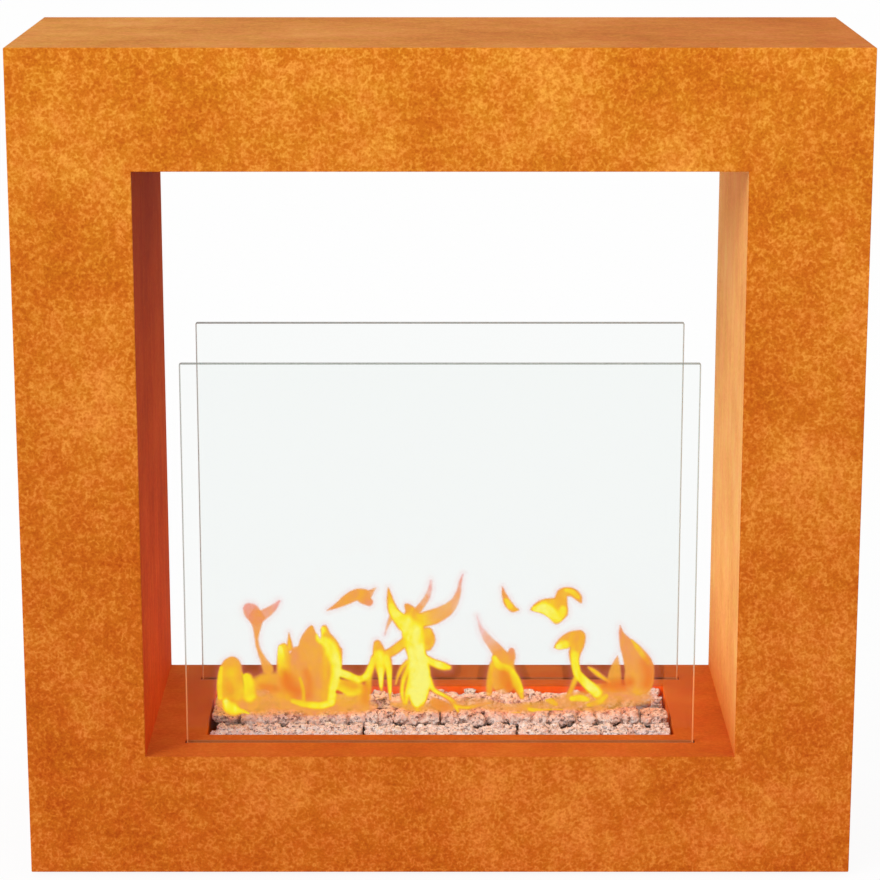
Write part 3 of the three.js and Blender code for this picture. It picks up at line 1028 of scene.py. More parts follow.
@dataclass
class Glazing:
    """The two panes, with the channel and seal that each stands in."""

    shop: Workshop
    corner: float = 2.5 * MM
    arris: float = 1.3 * MM
    corner_steps: int = 8

    def build(self) -> None:
        """Makes the panes and dresses what holds them."""
        for side in ("front", "rear"):
            node = f"{side}_glass"
            shape = self._pane(*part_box(node))
            made = self.shop.piece(f"{node}_pane", shape, ClearGlass(), GroundGlass())
            for face in made.data.polygons:
                face.material_index = 0 if abs(face.normal.y) > 0.99 else 1
            self.shop.stand_in(made, node)
            self.shop.dress(SEAL, f"{side}_glass_gasket")
            self.shop.dress(ZINC, f"{side}_glass_channel")

    def _outline(self, low: Vector, high: Vector, inset: float, y: float) -> list[Corner]:
        """A ring of points round the pane, so far inside its edge.

        Args:
            low, high: The pane's corners.
            inset: How far inside.
            y: The ring's depth.

        Returns:
            The points, in order.
        """
        radius = self.corner - inset
        corners = [
            (high.x - self.corner, high.z - self.corner, 0),
            (low.x + self.corner, high.z - self.corner, 90),
            (low.x + self.corner, low.z + self.corner, 180),
            (high.x - self.corner, low.z + self.corner, 270),
        ]
        ring = []
        for x, z, start in corners:
            ring += arc((x, z), radius, start, start + 90, self.corner_steps)
        return [(x, y, z) for x, z in ring]

    def _pane(self, low: Vector, high: Vector) -> bmesh.types.BMesh:
        """A slab with round corners and an arris along every edge.

        Args:
            low, high: The pane's corners.

        Returns:
            The mesh.
        """
        shape = bmesh.new()
        places = [
            (self.arris, low.y),
            (0.0, low.y + self.arris),
            (0.0, high.y - self.arris),
            (self.arris, high.y),
        ]
        rings = [
            [shape.verts.new(point) for point in self._outline(low, high, inset, y)] for inset, y in places
        ]
        return lofted(shape, rings)


# ---------------------------------------------------------------------------------------------------
# Burner
# ---------------------------------------------------------------------------------------------------


@dataclass
class Burner:
    """The lift-out burner: tank, fibre, mesh, top plate, damper and its knob, guides and shelf."""

    shop: Workshop
    edge_radius: float = 0.35 * MM
    knob_fillet: float = 1.6 * MM
    knob_head: float = 9.0 * MM  # height of the knob's head
    knob_ease: float = 1.0 * MM
    stem_share: float = 3 / 7  # the stem's radius over the head's
    groove_depth: float = 0.5 * MM
    groove_levels: tuple[float, float] = (3.0 * MM, 5.0 * MM)

    def build(self) -> None:
        """Makes the pieces that show and dresses the rest."""
        self._eased("burner_top_plate", HOT_STAINLESS)
        self._eased("damper_blade", STAINLESS)
        self._eased("burner_tank", STAINLESS)
        self._eased("stone_shelf", STAINLESS)
        self.shop.stand_in(self._knob(), "damper_knob")
        self.shop.dress(STAINLESS, "left_damper_guide", "right_damper_guide")
        self.shop.dress(HOT_STAINLESS, "wool_mesh")
        self.shop.dress(WOOL, "ceramic_wool")

    def _eased(self, node: str, finish: Metal) -> None:
        """The node's own shape with its sharp edges eased.

        Args:
            node: The node's name.
            finish: Its finish.
        """
        shape = self.shop.welded(node)
        round_edges(shape, sharp_edges(shape), self.edge_radius, 2)
        self.shop.stand_in(self.shop.piece(f"{node}_eased", shape, finish, smooth=25.0), node)

    def _knob(self) -> bpy.types.Object:
        """The turned knob: a stem, and a head with two grip grooves and a domed top.

        Returns:
            The piece.
        """
        low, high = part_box("damper_knob")
        head = (high.x - low.x) / 2
        stem = head * self.stem_share
        height = high.z - low.z
        neck = height - self.knob_head
        ease, groove = self.knob_ease, self.groove_depth
        profile = [(0.0, 0.0), (stem, 0.0), (stem, neck), (head - ease, neck), (head, neck + ease)]
        for level in self.groove_levels:
            base = neck + level
            profile += [(head, base - groove), (head - groove, base), (head, base + groove)]
        top = (head - self.knob_fillet, height - self.knob_fillet)
        profile += arc(top, self.knob_fillet, 0, 90)
        profile += [(head * 0.5, height), (0.0, height)]
        centre = ((low.x + high.x) / 2, (low.y + high.y) / 2, low.z)
        return self.shop.piece("damper_knob_turned", turned(profile, centre), STAINLESS, smooth=35.0)


# ---------------------------------------------------------------------------------------------------
# Stones
# ---------------------------------------------------------------------------------------------------


@dataclass(frozen=True)
class Layer:
    """One layer of stones in a cell.

    along, across: stones each way. size: a stone's width. level: height of its middle, as a share of
    the cell's. squat: height over width. jitter: how far a stone strays, as a share of its size.
    detail: how finely it is cut. A field's kind gives its input in the node tree.
    """

    along: int
    across: int
    size: float
    level: float
    squat: float = 0.85
    jitter: float = 0.25
    detail: int = 5


class StoneHeap(Tree):
    """Node tree that fills a cell with layers of broken stones, each cut by planes of its own."""

    def __init__(self, layers: int) -> None:
        """Builds the tree for so many layers.

        Args:
            layers: How many layers of stones it places.
        """
        data = bpy.data.node_groups.new("stone_heap", "GeometryNodeTree")
        super().__init__(data)
        self.sockets: dict[str, str] = {}
        self._socket("Geometry", "NodeSocketGeometry")
        self._socket("Low", "NodeSocketVector")
        self._socket("High", "NodeSocketVector")
        self._socket("Seed", "NodeSocketInt")
        self._socket("Relief", "NodeSocketFloat")
        self._socket("Finish", "NodeSocketMaterial")
        for i in range(layers):
            for row in fields(Layer):
                self._socket(f"{row.name.capitalize()} {i}", f"NodeSocket{row.type.__name__.capitalize()}")
        data.interface.new_socket("Geometry", in_out="OUTPUT", socket_type="NodeSocketGeometry")
        self.inputs = self.data.nodes.new("NodeGroupInput")
        heaps = [self._layer(i) for i in range(layers)]
        joined = self.data.nodes.new("GeometryNodeJoinGeometry")
        for heap in heaps:
            self.data.links.new(heap.socket, joined.inputs[0])
        real = self.node("GeometryNodeRealizeInstances", inputs={0: Wire(self, joined.outputs[0])})
        cut = self._cut(real)
        grained = self._grain(self._keep_in(cut, PRESSED))
        kept = self._keep_in(grained, KEPT)
        shaded = self.node("GeometryNodeSetShadeSmooth", inputs={0: kept, "Shade Smooth": True})
        dressed = self.node("GeometryNodeSetMaterial", inputs={0: shaded, "Material": self.given("Finish")})
        self.node("NodeGroupOutput", inputs={0: dressed})

    def _socket(self, name: str, kind: str) -> None:
        """Adds a named input."""
        made = self.data.interface.new_socket(name, in_out="INPUT", socket_type=kind)
        self.sockets[name] = made.identifier

    def given(self, name: str) -> Wire:
        """The wire of a named input."""
        return Wire(self, next(out for out in self.inputs.outputs if out.name == name))

    def chance(self, low: float, high: float, salt: int) -> Wire:
        """A random number for each point.

        Args:
            low, high: Its range.
            salt: What tells it from other chances.

        Returns:
            The number.
        """
        seed = self.given("Seed") + salt
        inputs = {2: low, 3: high, "Seed": seed}
        return self.node("FunctionNodeRandomValue", {"data_type": "FLOAT"}, inputs, 1)

    def _store(self, shape: Wire, name: str, value: Wire, vector: bool) -> Wire:
        """Stores a value on the points.

        Args:
            shape: The geometry.
            name: The value's name.
            value: The value.
            vector: Whether it has three numbers.

        Returns:
            The geometry with the value.
        """
        settings = {"data_type": "FLOAT_VECTOR" if vector else "FLOAT", "domain": "POINT"}
        inputs = {0: shape, "Name": name, "Value": value}
        return self.node("GeometryNodeStoreNamedAttribute", settings, inputs)

    def _stored(self, name: str, vector: bool) -> Wire:
        """Reads a stored value."""
        settings = {"data_type": "FLOAT_VECTOR" if vector else "FLOAT"}
        return self.node("GeometryNodeInputNamedAttribute", settings, {"Name": name})

    def _layer(self, i: int) -> Wire:
        """Places one layer's stones on a jittered grid that stays a half stone inside the cell.

        Args:
            i: Which layer.

        Returns:
            The layer's stones as instances.
        """
        salt = 100 * i
        low, high = self.given("Low"), self.given("High")
        along, across, size = self.given(f"Along {i}"), self.given(f"Across {i}"), self.given(f"Size {i}")
        level, squat, jitter = self.given(f"Level {i}"), self.given(f"Squat {i}"), self.given(f"Jitter {i}")
        index = self.node("GeometryNodeInputIndex")
        x0, y0, z0 = self.xyz(low)
        x1, y1, z1 = self.xyz(high)
        column = index % along
        row = (index / along).floor()
        margin = size * 0.4
        stray = size * jitter
        x = x0 + (x1 - x0) * (column + 0.5) / along + self.chance(-1.0, 1.0, salt + 1) * stray
        y = y0 + (y1 - y0) * (row + 0.5) / across + self.chance(-1.0, 1.0, salt + 2) * stray
        z = z0 + (z1 - z0) * level + self.chance(-0.5, 0.5, salt + 3) * stray
        x = x.most(x0 + margin).least(x1 - margin)
        y = y.most(y0 + margin).least(y1 - margin)
        place = self.vector(x, y, z)
        points = self.node("GeometryNodePoints", inputs={"Count": along * across, "Position": place})
        points = self._store(points, "centre", place, True)
        points = self._store(points, "tint", self.chance(0.0, 1.0, salt + 4), False)
        ball = self.node(
            "GeometryNodeMeshIcoSphere",
            inputs={"Radius": 0.5, "Subdivisions": self.given(f"Detail {i}")},
        )
        way = self.geometry("NORMALIZE", self.node("GeometryNodeInputPosition"))
        ball = self._store(ball, "way", way, True)
        scale = self.vector(
            size * self.chance(0.92, 1.2, salt + 5),
            size * self.chance(0.85, 1.1, salt + 6),
            size * squat * self.chance(0.85, 1.15, salt + 7),
        )
        turn = self.vector(
            self.chance(-0.45, 0.45, salt + 8),
            self.chance(-0.45, 0.45, salt + 9),
            self.chance(-3.14, 3.14, salt + 10),
        )
        return self.node(
            "GeometryNodeInstanceOnPoints",
            inputs={"Points": points, "Instance": ball, "Rotation": turn, "Scale": scale},
        )

    def _outward(self) -> tuple[Wire, Wire]:
        """A point's offset from its stone's middle, and the middle."""
        centre = self._stored("centre", True)
        return self.geometry("SUBTRACT", self.node("GeometryNodeInputPosition"), centre), centre

    def _cut(self, shape: Wire) -> Wire:
        """Cuts each ball by random planes, as a hammer does.

        Args:
            shape: The balls.

        Returns:
            The cut stones.
        """
        way = self._stored("way", True)
        tint = self._stored("tint", False)
        shift = self.vector(tint * 37.0, tint * 53.0, tint * 71.0)
        settings = {"voronoi_dimensions": "3D", "feature": "F1"}
        spot = {"Vector": self.geometry("ADD", way, shift), "Scale": 1.5}
        facet = self.node("ShaderNodeTexVoronoi", settings, spot, "Position")
        normal = self.geometry("NORMALIZE", self.geometry("SUBTRACT", facet, shift))
        facing = self.geometry("DOT_PRODUCT", way, normal, output="Value").most(0.6)
        reach = (0.84 / facing).held(0.76, 1.16)
        offset, centre = self._outward()
        moved = self.geometry("ADD", centre, self.geometry("SCALE", offset, reach))
        return self.node("GeometryNodeSetPosition", inputs={0: shape, "Position": moved})

    def _grain(self, shape: Wire) -> Wire:
        """Roughens the broken faces, from lumps down to single grains.

        Args:
            shape: The stones.

        Returns:
            The roughened stones.
        """
        place = self.node("GeometryNodeInputPosition")
        lumps = self.noise(place, 70.0, 2.0, 0.5) - 0.5
        pits = self.noise(place, 190.0, 2.0, 0.6) - 0.5
        grains = self.noise(place, 430.0, 1.0, 0.5) - 0.5
        depth = (lumps * 0.011 + pits * 0.010 + grains * 0.005) * self.given("Relief")
        offset, _ = self._outward()
        push = self.geometry("SCALE", self.geometry("NORMALIZE", offset), depth)
        return self.node("GeometryNodeSetPosition", inputs={0: shape, "Offset": push})

    def _keep_in(self, shape: Wire, slack: Corner) -> Wire:
        """Holds every point inside the cell, each stone at its own distance from the cell's walls.

        Args:
            shape: The stones.
            slack: The greatest distance along each axis.

        Returns:
            The stones inside the cell.
        """
        share = self._stored("tint", False) * 0.6 + 0.4
        off = self.geometry("SCALE", slack, share)
        low = self.geometry("ADD", self.given("Low"), off)
        high = self.geometry("SUBTRACT", self.given("High"), off)
        place = self.node("GeometryNodeInputPosition")
        inside = self.geometry("MINIMUM", self.geometry("MAXIMUM", place, low), high)
        return self.node("GeometryNodeSetPosition", inputs={0: shape, "Position": inside})

    def fill(
        self,
        name: str,
        low: Corner,
        high: Corner,
        seed: int,
        layers: Sequence[Layer],
        relief: float,
        finish: bpy.types.Material,
    ) -> bpy.types.Object:
        """Fills one cell and returns it as a plain mesh.

        Args:
            name: The piece's name.
            low: The cell's lowest corner.
            high: Its highest corner.
            seed: What its chances start from.
            layers: Its layers of stones.
            relief: How rough the broken faces are.
            finish: The stones' material.

        Returns:
            The object.
        """
        maker = placed(bpy.data.objects.new(f"{name}_maker", bpy.data.meshes.new(f"{name}_maker")))
        modifier = maker.modifiers.new("stones", "NODES")
        modifier.node_group = self.data
        values: dict[str, object] = {"Low": low, "High": high, "Seed": seed}
        values |= {"Relief": relief, "Finish": finish}
        for i, layer in enumerate(layers):
            for row in fields(layer):
                values[f"{row.name.capitalize()} {i}"] = getattr(layer, row.name)
        for word, value in values.items():
            modifier[self.sockets[word]] = value
        depsgraph = bpy.context.evaluated_depsgraph_get()
        mesh = bpy.data.meshes.new_from_object(maker.evaluated_get(depsgraph), depsgraph=depsgraph)
        mesh.name = name
        bpy.data.objects.remove(maker)
        return placed(bpy.data.objects.new(name, mesh))


@dataclass
class StoneBed:
    """The bed of broken granite: rows on the shelf, smaller stones on the burner beside its lip."""

    shop: Workshop
    wall_gap: float = 0.4 * MM
    first_seed: int = 7
    row: tuple[Layer, ...] = (
        Layer(5, 1, 48 * MM, 0.46, squat=0.95, jitter=0.05),
        Layer(8, 2, 32 * MM, 0.66, squat=0.95, jitter=0.25),
        Layer(13, 3, 18 * MM, 0.84, squat=0.9, jitter=0.5, detail=4),
    )
    rim: tuple[Layer, ...] = (
        Layer(9, 1, 36 * MM, 0.36, squat=0.65, jitter=0.06),
        Layer(13, 2, 22 * MM, 0.5, squat=0.95, jitter=0.25, detail=4),
        Layer(13, 2, 14 * MM, 0.8, squat=0.9, jitter=0.7, detail=4),
    )
    rear_row: tuple[Layer, ...] = (
        Layer(5, 1, 47 * MM, 0.38, squat=0.9, jitter=0.06),
        Layer(8, 2, 30 * MM, 0.6, squat=0.85, jitter=0.25),
        Layer(7, 2, 18 * MM, 0.84, squat=0.9, jitter=0.9, detail=4),
    )
    rear_rim: tuple[Layer, ...] = (
        Layer(9, 1, 35 * MM, 0.26, squat=0.55, jitter=0.06),
        Layer(13, 2, 21 * MM, 0.44, squat=0.8, jitter=0.3, detail=4),
        Layer(8, 2, 16 * MM, 0.68, squat=0.85, jitter=0.9, detail=4),
    )
    end: tuple[Layer, ...] = (
        Layer(1, 2, 40 * MM, 0.5, squat=0.6, jitter=0.05),
        Layer(2, 3, 24 * MM, 0.76, squat=0.8, jitter=0.2),
        Layer(3, 4, 16 * MM, 0.92, squat=0.8, jitter=0.4, detail=4),
    )
    relief: float = 1.0

    def build(self) -> None:
        """Fills every cell."""
        heap = StoneHeap(layers=3)
        finish = self.shop.paint(Granite())
        inset = Vector((self.wall_gap,) * 3)
        nodes = sorted(node for node in self.shop.nodes if "stones" in node)
        for seed, node in enumerate(nodes, self.first_seed):
            low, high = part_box(node)
            made = heap.fill(
                f"{node}_broken", low + inset, high - inset, seed, self._layers(node), self.relief, finish
            )
            self.shop.stand_in(made, node)

    def _layers(self, node: str) -> tuple[Layer, ...]:
        """The layers that suit a cell: the rear ones lie lower, with a few stones that stand out.

        Args:
            node: The cell's node.

        Returns:
            Its layers.
        """
        rear = node.startswith("rear")
        if "rim" in node:
            return self.rear_rim if rear else self.rim
        if "end" in node:
            return self.end
        return self.rear_row if rear else self.row


# ---------------------------------------------------------------------------------------------------
# Feet
# ---------------------------------------------------------------------------------------------------


@dataclass
class Feet:
    """The levelling feet: a moulded pad, a threaded stud and a weld nut at each corner."""

    shop: Workshop
    pitch: float = 1.5 * MM
    thread_depth: float = 0.75 * MM
    ball_height: float = 2.6 * MM
    chamfer: float = 1.0 * MM
    chamfer_slope: float = 0.6  # radius lost for each length of the tip
    crest_share: float = 0.5095  # the thread's crest radius over half the nut's width
    ball_waist: float = 0.86  # the ball end's smallest radius, as a share of its largest
    ball_middle: float = 0.45  # where it is widest, as a share of its height
    ball_ease: float = 0.4 * MM
    socket_gap: float = 0.3 * MM
    collar: float = 3.0 * MM
    pad_rim: float = 0.9 * MM
    nut_radius: float = 0.4 * MM
    thread_sides: int = 24
    rings_a_turn: int = 6

    def build(self) -> None:
        """Makes all four."""
        makers = {"pad": self._pad, "stud": self._stud, "nut": self._nut}
        for place in ("front_left", "front_right", "rear_left", "rear_right"):
            for piece, make in makers.items():
                node = f"{place}_foot_{piece}"
                self.shop.stand_in(make(node), node)

    def _pad(self, node: str) -> bpy.types.Object:
        """A round pad with a soft rim, a sloping shoulder and the socket for the stud's ball.

        Args:
            node: The pad's node.

        Returns:
            The piece.
        """
        low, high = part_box(node)
        centre = ((low.x + high.x) / 2, (low.y + high.y) / 2, low.z)
        radius, height = (high.x - low.x) / 2, high.z - low.z
        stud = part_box(node.replace("pad", "stud"))
        socket = (stud[1].x - stud[0].x) / 2 + self.socket_gap
        floor = stud[0].z - low.z
        rim = self.pad_rim
        profile = [(0.0, 0.0), (radius - rim, 0.0)]
        profile += arc((radius - rim, rim), rim, -80, 60)
        profile += [(socket + self.collar, height), (socket, height), (socket, floor), (0.0, floor)]
        return self.shop.piece(f"{node}_moulded", turned(profile, centre), FOOT_PLASTIC, smooth=30.0)

    def _stud(self, node: str) -> bpy.types.Object:
        """A ball-ended stud with a rolled thread, its crests on one helix.

        Args:
            node: The stud's node.

        Returns:
            The piece.
        """
        low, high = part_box(node)
        centre_x, centre_y = (low.x + high.x) / 2, (low.y + high.y) / 2
        ball = (high.x - low.x) / 2
        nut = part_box(node.replace("stud", "nut"))
        crest = (nut[1].x - nut[0].x) / 2 * self.crest_share
        height = high.z - low.z
        step = self.pitch / self.rings_a_turn
        levels = [0.0, self.ball_height * 0.5, self.ball_height * 0.8, self.ball_height]
        count = int((height - self.ball_height - self.chamfer) / step)
        levels += [self.ball_height + step * (i + 1) for i in range(count)]
        levels.append(height)
        shape = bmesh.new()
        rings = []
        for level in levels:
            ring = []
            for i in range(self.thread_sides):
                angle = 2 * math.pi * i / self.thread_sides
                radius = self._stud_radius(level, angle, ball, crest, height)
                x, y = radius * math.cos(angle), radius * math.sin(angle)
                ring.append(shape.verts.new((centre_x + x, centre_y + y, low.z + level)))
            rings.append(ring)
        return self.shop.piece(f"{node}_threaded", lofted(shape, rings), ZINC, smooth=50.0)

    def _stud_radius(self, level: float, angle: float, ball: float, crest: float, height: float) -> float:
        """The stud's radius at a height and angle: a ball end, a thread and a chamfered tip.

        Args:
            level: Height above its lower end.
            angle: Angle round its axis.
            ball: The ball end's radius.
            crest: The thread's outer radius.
            height: The stud's length.

        Returns:
            The radius there.
        """
        if level < self.ball_height - TOUCH:
            bulge = math.sqrt(max(0.0, 1 - (level / self.ball_height - self.ball_middle) ** 2))
            share = self.ball_waist + (1 - self.ball_waist) * bulge
            return ball * share - (self.ball_ease if level < TOUCH else 0.0)
        turn = (level / self.pitch - angle / (2 * math.pi)) % 1.0
        ridge = abs(2 * turn - 1)
        tip = max(0.0, level - (height - self.chamfer))
        return crest - self.thread_depth * ridge - tip * self.chamfer_slope

    def _nut(self, node: str) -> bpy.types.Object:
        """The weld nut, its corners eased.

        Args:
            node: The nut's node.

        Returns:
            The piece.
        """
        shape = self.shop.welded(node)
        round_edges(shape, sharp_edges(shape), self.nut_radius, 2)
        return self.shop.piece(f"{node}_eased", shape, ZINC, smooth=25.0)


# ---------------------------------------------------------------------------------------------------
# Studio
# ---------------------------------------------------------------------------------------------------


@dataclass
class Studio:
    """Camera, floor and light."""

    eye: Corner = (0.0, -3.7335, 1.4413)
    tilt: float = 13.698  # degrees below the horizon
    lens: float = 120.42
    sensor: float = 36.0
    picture: int = 880
    level: float = 0.8  # light from all round
    key_strength: float = 1.34
    key_colour: Corner = (1.0, 0.985, 0.96)
    key_from: Corner = (-0.62, -0.62, 0.52)
    key_spread: float = 34.0
    floor_size: float = 60.0
    white_share: float = 0.93

    def build(self) -> None:
        """Sets up the studio."""
        self._camera()
        self._key()
        self._world()
        self._floor()
        bpy.context.scene.view_settings.view_transform = "Standard"

    def _camera(self) -> None:
        """The camera at the photograph's viewing angle."""
        data = bpy.data.cameras.new("camera")
        data.lens = self.lens
        data.sensor_width = self.sensor
        data.clip_end = 200.0
        camera = placed(bpy.data.objects.new("camera", data))
        camera.location = self.eye
        camera.rotation_euler = (math.radians(90 - self.tilt), 0.0, 0.0)
        bpy.context.scene.camera = camera

    def _key(self) -> None:
        """One broad, soft lamp from the upper left."""
        data = bpy.data.lights.new("key", "SUN")
        data.energy = self.key_strength
        data.angle = math.radians(self.key_spread)
        data.color = self.key_colour
        lamp = placed(bpy.data.objects.new("key", data))
        lamp.rotation_euler = Vector(self.key_from).to_track_quat("Z", "Y").to_euler()

    @staticmethod
    def _seen(tree: Tree) -> Wire:
        """1 for rays that end in the picture, straight, mirrored or through glass.

        Args:
            tree: The tree that asks.

        Returns:
            1 or 0.
        """
        rays = tree.node("ShaderNodeLightPath").socket.node.outputs
        names = ("Is Camera Ray", "Is Glossy Ray", "Is Transmission Ray")
        straight, mirrored, through = (Wire(tree, rays[name]) for name in names)
        return straight.most(mirrored).most(through)

    def _world(self) -> None:
        """Even light, and white where the world itself is seen."""
        world = bpy.data.worlds.new("studio")
        world.use_nodes = True
        bpy.context.scene.world = world
        tree = Tree(world.node_tree)
        strength = self._seen(tree) * (1.0 - self.level) + self.level
        light = tree.node("ShaderNodeBackground", inputs={"Color": WHITE, "Strength": strength})
        tree.node("ShaderNodeOutputWorld", inputs={"Surface": light})

    def _floor(self) -> None:
        """A pale floor that stays white in the picture and keeps the object's shadow."""
        half = self.floor_size / 2
        mesh = bpy.data.meshes.new("floor")
        corners = [(-half, -half, 0), (half, -half, 0), (half, half, 0), (-half, half, 0)]
        mesh.from_pydata(corners, [], [(0, 1, 2, 3)])
        paint = Paint("floor")
        speck = paint.noise(paint.place, 40.0)
        pale = paint.ramp(speck, [(0.3, srgb(236, 236, 235)), (0.7, srgb(242, 242, 241))])
        matte = paint.node("ShaderNodeBsdfDiffuse", inputs={"Color": pale})
        white = paint.node("ShaderNodeEmission", inputs={"Color": WHITE, "Strength": 1.0})
        share = self._seen(paint) * self.white_share
        shader = paint.node("ShaderNodeMixShader", inputs={0: share, 1: matte, 2: white})
        mesh.materials.append(paint.end(shader))
        placed(bpy.data.objects.new("floor", mesh))

    def on_plane(self, across: np.ndarray, down: np.ndarray, y: np.ndarray) -> tuple[np.ndarray, np.ndarray]:
        """Where points of the picture lie on the upright planes at y.

        Args:
            across: Pixels from the left of the picture.
            down: Pixels from its top.
            y: The plane of each point.

        Returns:
            x and z of each point.
        """
        focal = self.picture * self.lens / self.sensor
        tilt = math.radians(self.tilt)
        right = (across - self.picture / 2) / focal
        up = (self.picture / 2 - down) / focal
        ray_y = math.cos(tilt) + up * math.sin(tilt)
        ray_z = up * math.cos(tilt) - math.sin(tilt)
        reach = (y - self.eye[1]) / ray_y
        return self.eye[0] + reach * right, self.eye[2] + reach * ray_z


# ---------------------------------------------------------------------------------------------------
# Fire
# ---------------------------------------------------------------------------------------------------


@dataclass(frozen=True)
class Stroke:
    """A lick of flame, followed in the picture.

    path: across, down and half width of each point, in pixels of the picture. heat and density: at
    the path's start and end. soft: width of its edge, in pixels.
    """

    path: tuple[tuple[float, float, float], ...]
    heat: tuple[float, float] = (0.45, 0.45)
    density: tuple[float, float] = (0.985, 0.985)
    soft: float = 2.2


LEFT_TONGUE = (
    Stroke(((233, 660, 3.5), (231.5, 667, 10.5), (230, 678, 13), (231, 692, 14), (234, 704, 13)),
           (0.42, 0.58)),
    Stroke(((248, 678, 5.5), (250, 688, 6.5), (251, 702, 9)), (0.66, 0.55)),
)
HEART = (
    Stroke(((268, 669, 6), (262, 657, 3.4), (257.5, 646, 2.5), (256.5, 636, 2.8), (257, 627, 4.8),
            (256, 617, 8)),
           (0.42, 0.3), (0.95, 0.95)),
    Stroke(((256, 617, 8), (252, 612, 8.5), (249, 609, 6.5)), (0.24, 0.12), (0.93, 0.85)),
    Stroke(((258, 618, 6), (266, 613, 5.5), (273, 608, 4), (279, 601.5, 2)), (0.22, 0.08), (0.93, 0.75)),
)
BROAD_BODY = (
    Stroke(((283.5, 648, 5.5), (284, 656, 7), (285, 670, 9), (286, 690, 10), (288, 704, 9)), (0.62, 0.45)),
    Stroke(((288.8, 633, 1), (289.4, 640, 2.5), (290, 648, 4)), (0.4, 0.6)),
    Stroke(((297, 652, 6), (298, 664, 12), (300, 684, 14), (302, 702, 12)), (0.3, 0.36)),
    Stroke(((311.5, 627.5, 2.6), (310, 636, 7.5), (310, 648, 12.5), (312, 670, 16), (313, 702, 14)),
           (0.42, 0.34)),
    Stroke(((324.5, 628, 3.6), (326.5, 636, 5.5), (330, 648, 10.5), (331, 662, 11.5), (327, 686, 10),
            (324, 704, 8)),
           (0.55, 0.5)),
    Stroke(((340, 650, 3), (338.5, 660, 4), (336, 672, 4)), (0.35, 0.5)),
)
WING = (
    Stroke(((327, 610.5, 0.9), (337, 605.5, 3.2), (346, 600, 5.4), (356, 594.8, 6.4), (364, 595, 6.6)),
           (0.22, 0.42)),
    Stroke(((366, 596, 6), (371, 592, 3), (375.5, 588, 1.2)), (0.36, 0.35), (0.95, 0.6)),
    Stroke(((363, 598, 6.4), (369, 602, 4.6)), (0.4, 0.15)),
)
WAVE = (
    Stroke(((336, 671, 4), (347, 675, 4.5), (358, 679, 4), (366, 676, 4), (371, 668, 4), (374, 658, 4)),
           (0.8, 0.75)),
    Stroke(((371, 668, 4), (368.4, 682, 4.6), (367, 698, 5)), (0.7, 0.5), (0.97, 0.8), 4.0),
    Stroke(((338, 684, 6), (350, 688, 8), (361, 690, 7), (363, 704, 7)), (0.64, 0.5)),
    Stroke(((338, 700, 7), (352, 702, 8), (364, 706, 6)), (0.5, 0.4), (0.85, 0.75)),
)
SADDLE = (
    Stroke(((377.5, 644, 4.6), (379, 652, 7), (380.5, 663, 7.5), (381, 676, 3.6), (381.5, 690, 2)),
           (0.5, 0.75)),
    Stroke(((387, 653, 4), (389, 666, 4), (389.4, 682, 2.8), (390, 699, 1.8)), (0.6, 0.8)),
    Stroke(((384, 656, 5), (393, 651, 5.5), (401, 645, 5.4), (407, 640, 5)), (0.55, 0.6)),
    Stroke(((407, 662, 3), (402, 668, 3), (398, 676, 2.4), (395.8, 684, 1.4)), (0.65, 0.6)),
)
CENTRE = (
    Stroke(((388.2, 588, 1.2), (389.6, 596, 3.2), (391, 604, 4.8), (395, 614, 6.4), (404, 624, 8)),
           (0.5, 0.85)),
    Stroke(((391, 618, 3), (387.5, 626, 1.8), (384.6, 635, 0.9)), (0.36, 0.1), (0.9, 0.5)),
    Stroke(((407, 606, 3.2), (411, 612, 6.4), (413, 622, 11), (414, 638, 12.5), (417, 654, 10)),
           (0.4, 0.85)),
    Stroke(((417, 654, 10), (419, 670, 11.5), (419, 686, 12), (418, 700, 9), (418, 709, 4)), (0.85, 0.95)),
    Stroke(((418, 610, 4), (424, 602, 3.6), (428.6, 594, 3.1), (430.4, 586, 2.2), (431, 580, 1.2)),
           (0.3, 0.02), (0.95, 0.35)),
    Stroke(((421, 620, 8), (433, 617, 8.4), (446, 610.5, 7), (454, 602.5, 4.8), (458.5, 592, 3),
            (460, 583, 2.1), (463, 574.5, 0.9)),
           (0.6, 0.06), (0.98, 0.7)),
    Stroke(((427.5, 633, 6.4), (429.6, 640, 6.6), (428, 647, 4.6)), (0.56, 0.5)),
    Stroke(((409, 667, 4), (404, 678, 3.4), (402, 692, 3), (404, 703, 2.5)), (0.75, 0.8)),
    Stroke(((412, 676, 4), (408, 690, 4), (406, 703, 3)), (0.85, 0.8)),
    Stroke(((424, 658, 5), (434, 663, 4.8), (443, 666, 5), (449, 667.5, 3.4)), (0.9, 0.85)),
    Stroke(((428, 680, 5), (434, 690, 3.4), (445, 696, 3), (453, 702, 3.6), (458, 711, 2.4)), (0.9, 0.85)),
    Stroke(((455, 706, 3.5), (467, 707.5, 2.8), (479, 705, 2.4), (490, 703, 1.5)), (0.8, 0.5)),
    Stroke(((434, 702, 5), (442, 706, 6), (450, 709, 4)), (0.42, 0.36), (0.9, 0.85)),
)
HORN = (
    Stroke(((477, 616, 0.8), (480.5, 627, 2.2), (486, 637, 4.4), (493, 645, 5.6), (500, 654, 7)),
           (0.02, 0.36), (0.35, 0.97)),
    Stroke(((511.6, 651, 3.8), (511, 656, 5), (507, 663, 8)), (0.2, 0.4)),
    Stroke(((501, 659, 10), (502.6, 668, 12.4), (504, 680, 14)), (0.4, 0.42)),
    Stroke(((492.5, 664, 3.6), (490.6, 678, 4.4), (489, 693, 3.6)), (0.6, 0.5), (0.98, 0.8)),
    Stroke(((509, 668, 4.4), (514.6, 678, 5.2), (518.6, 688, 4.8), (522, 697, 3)), (0.62, 0.62)),
)
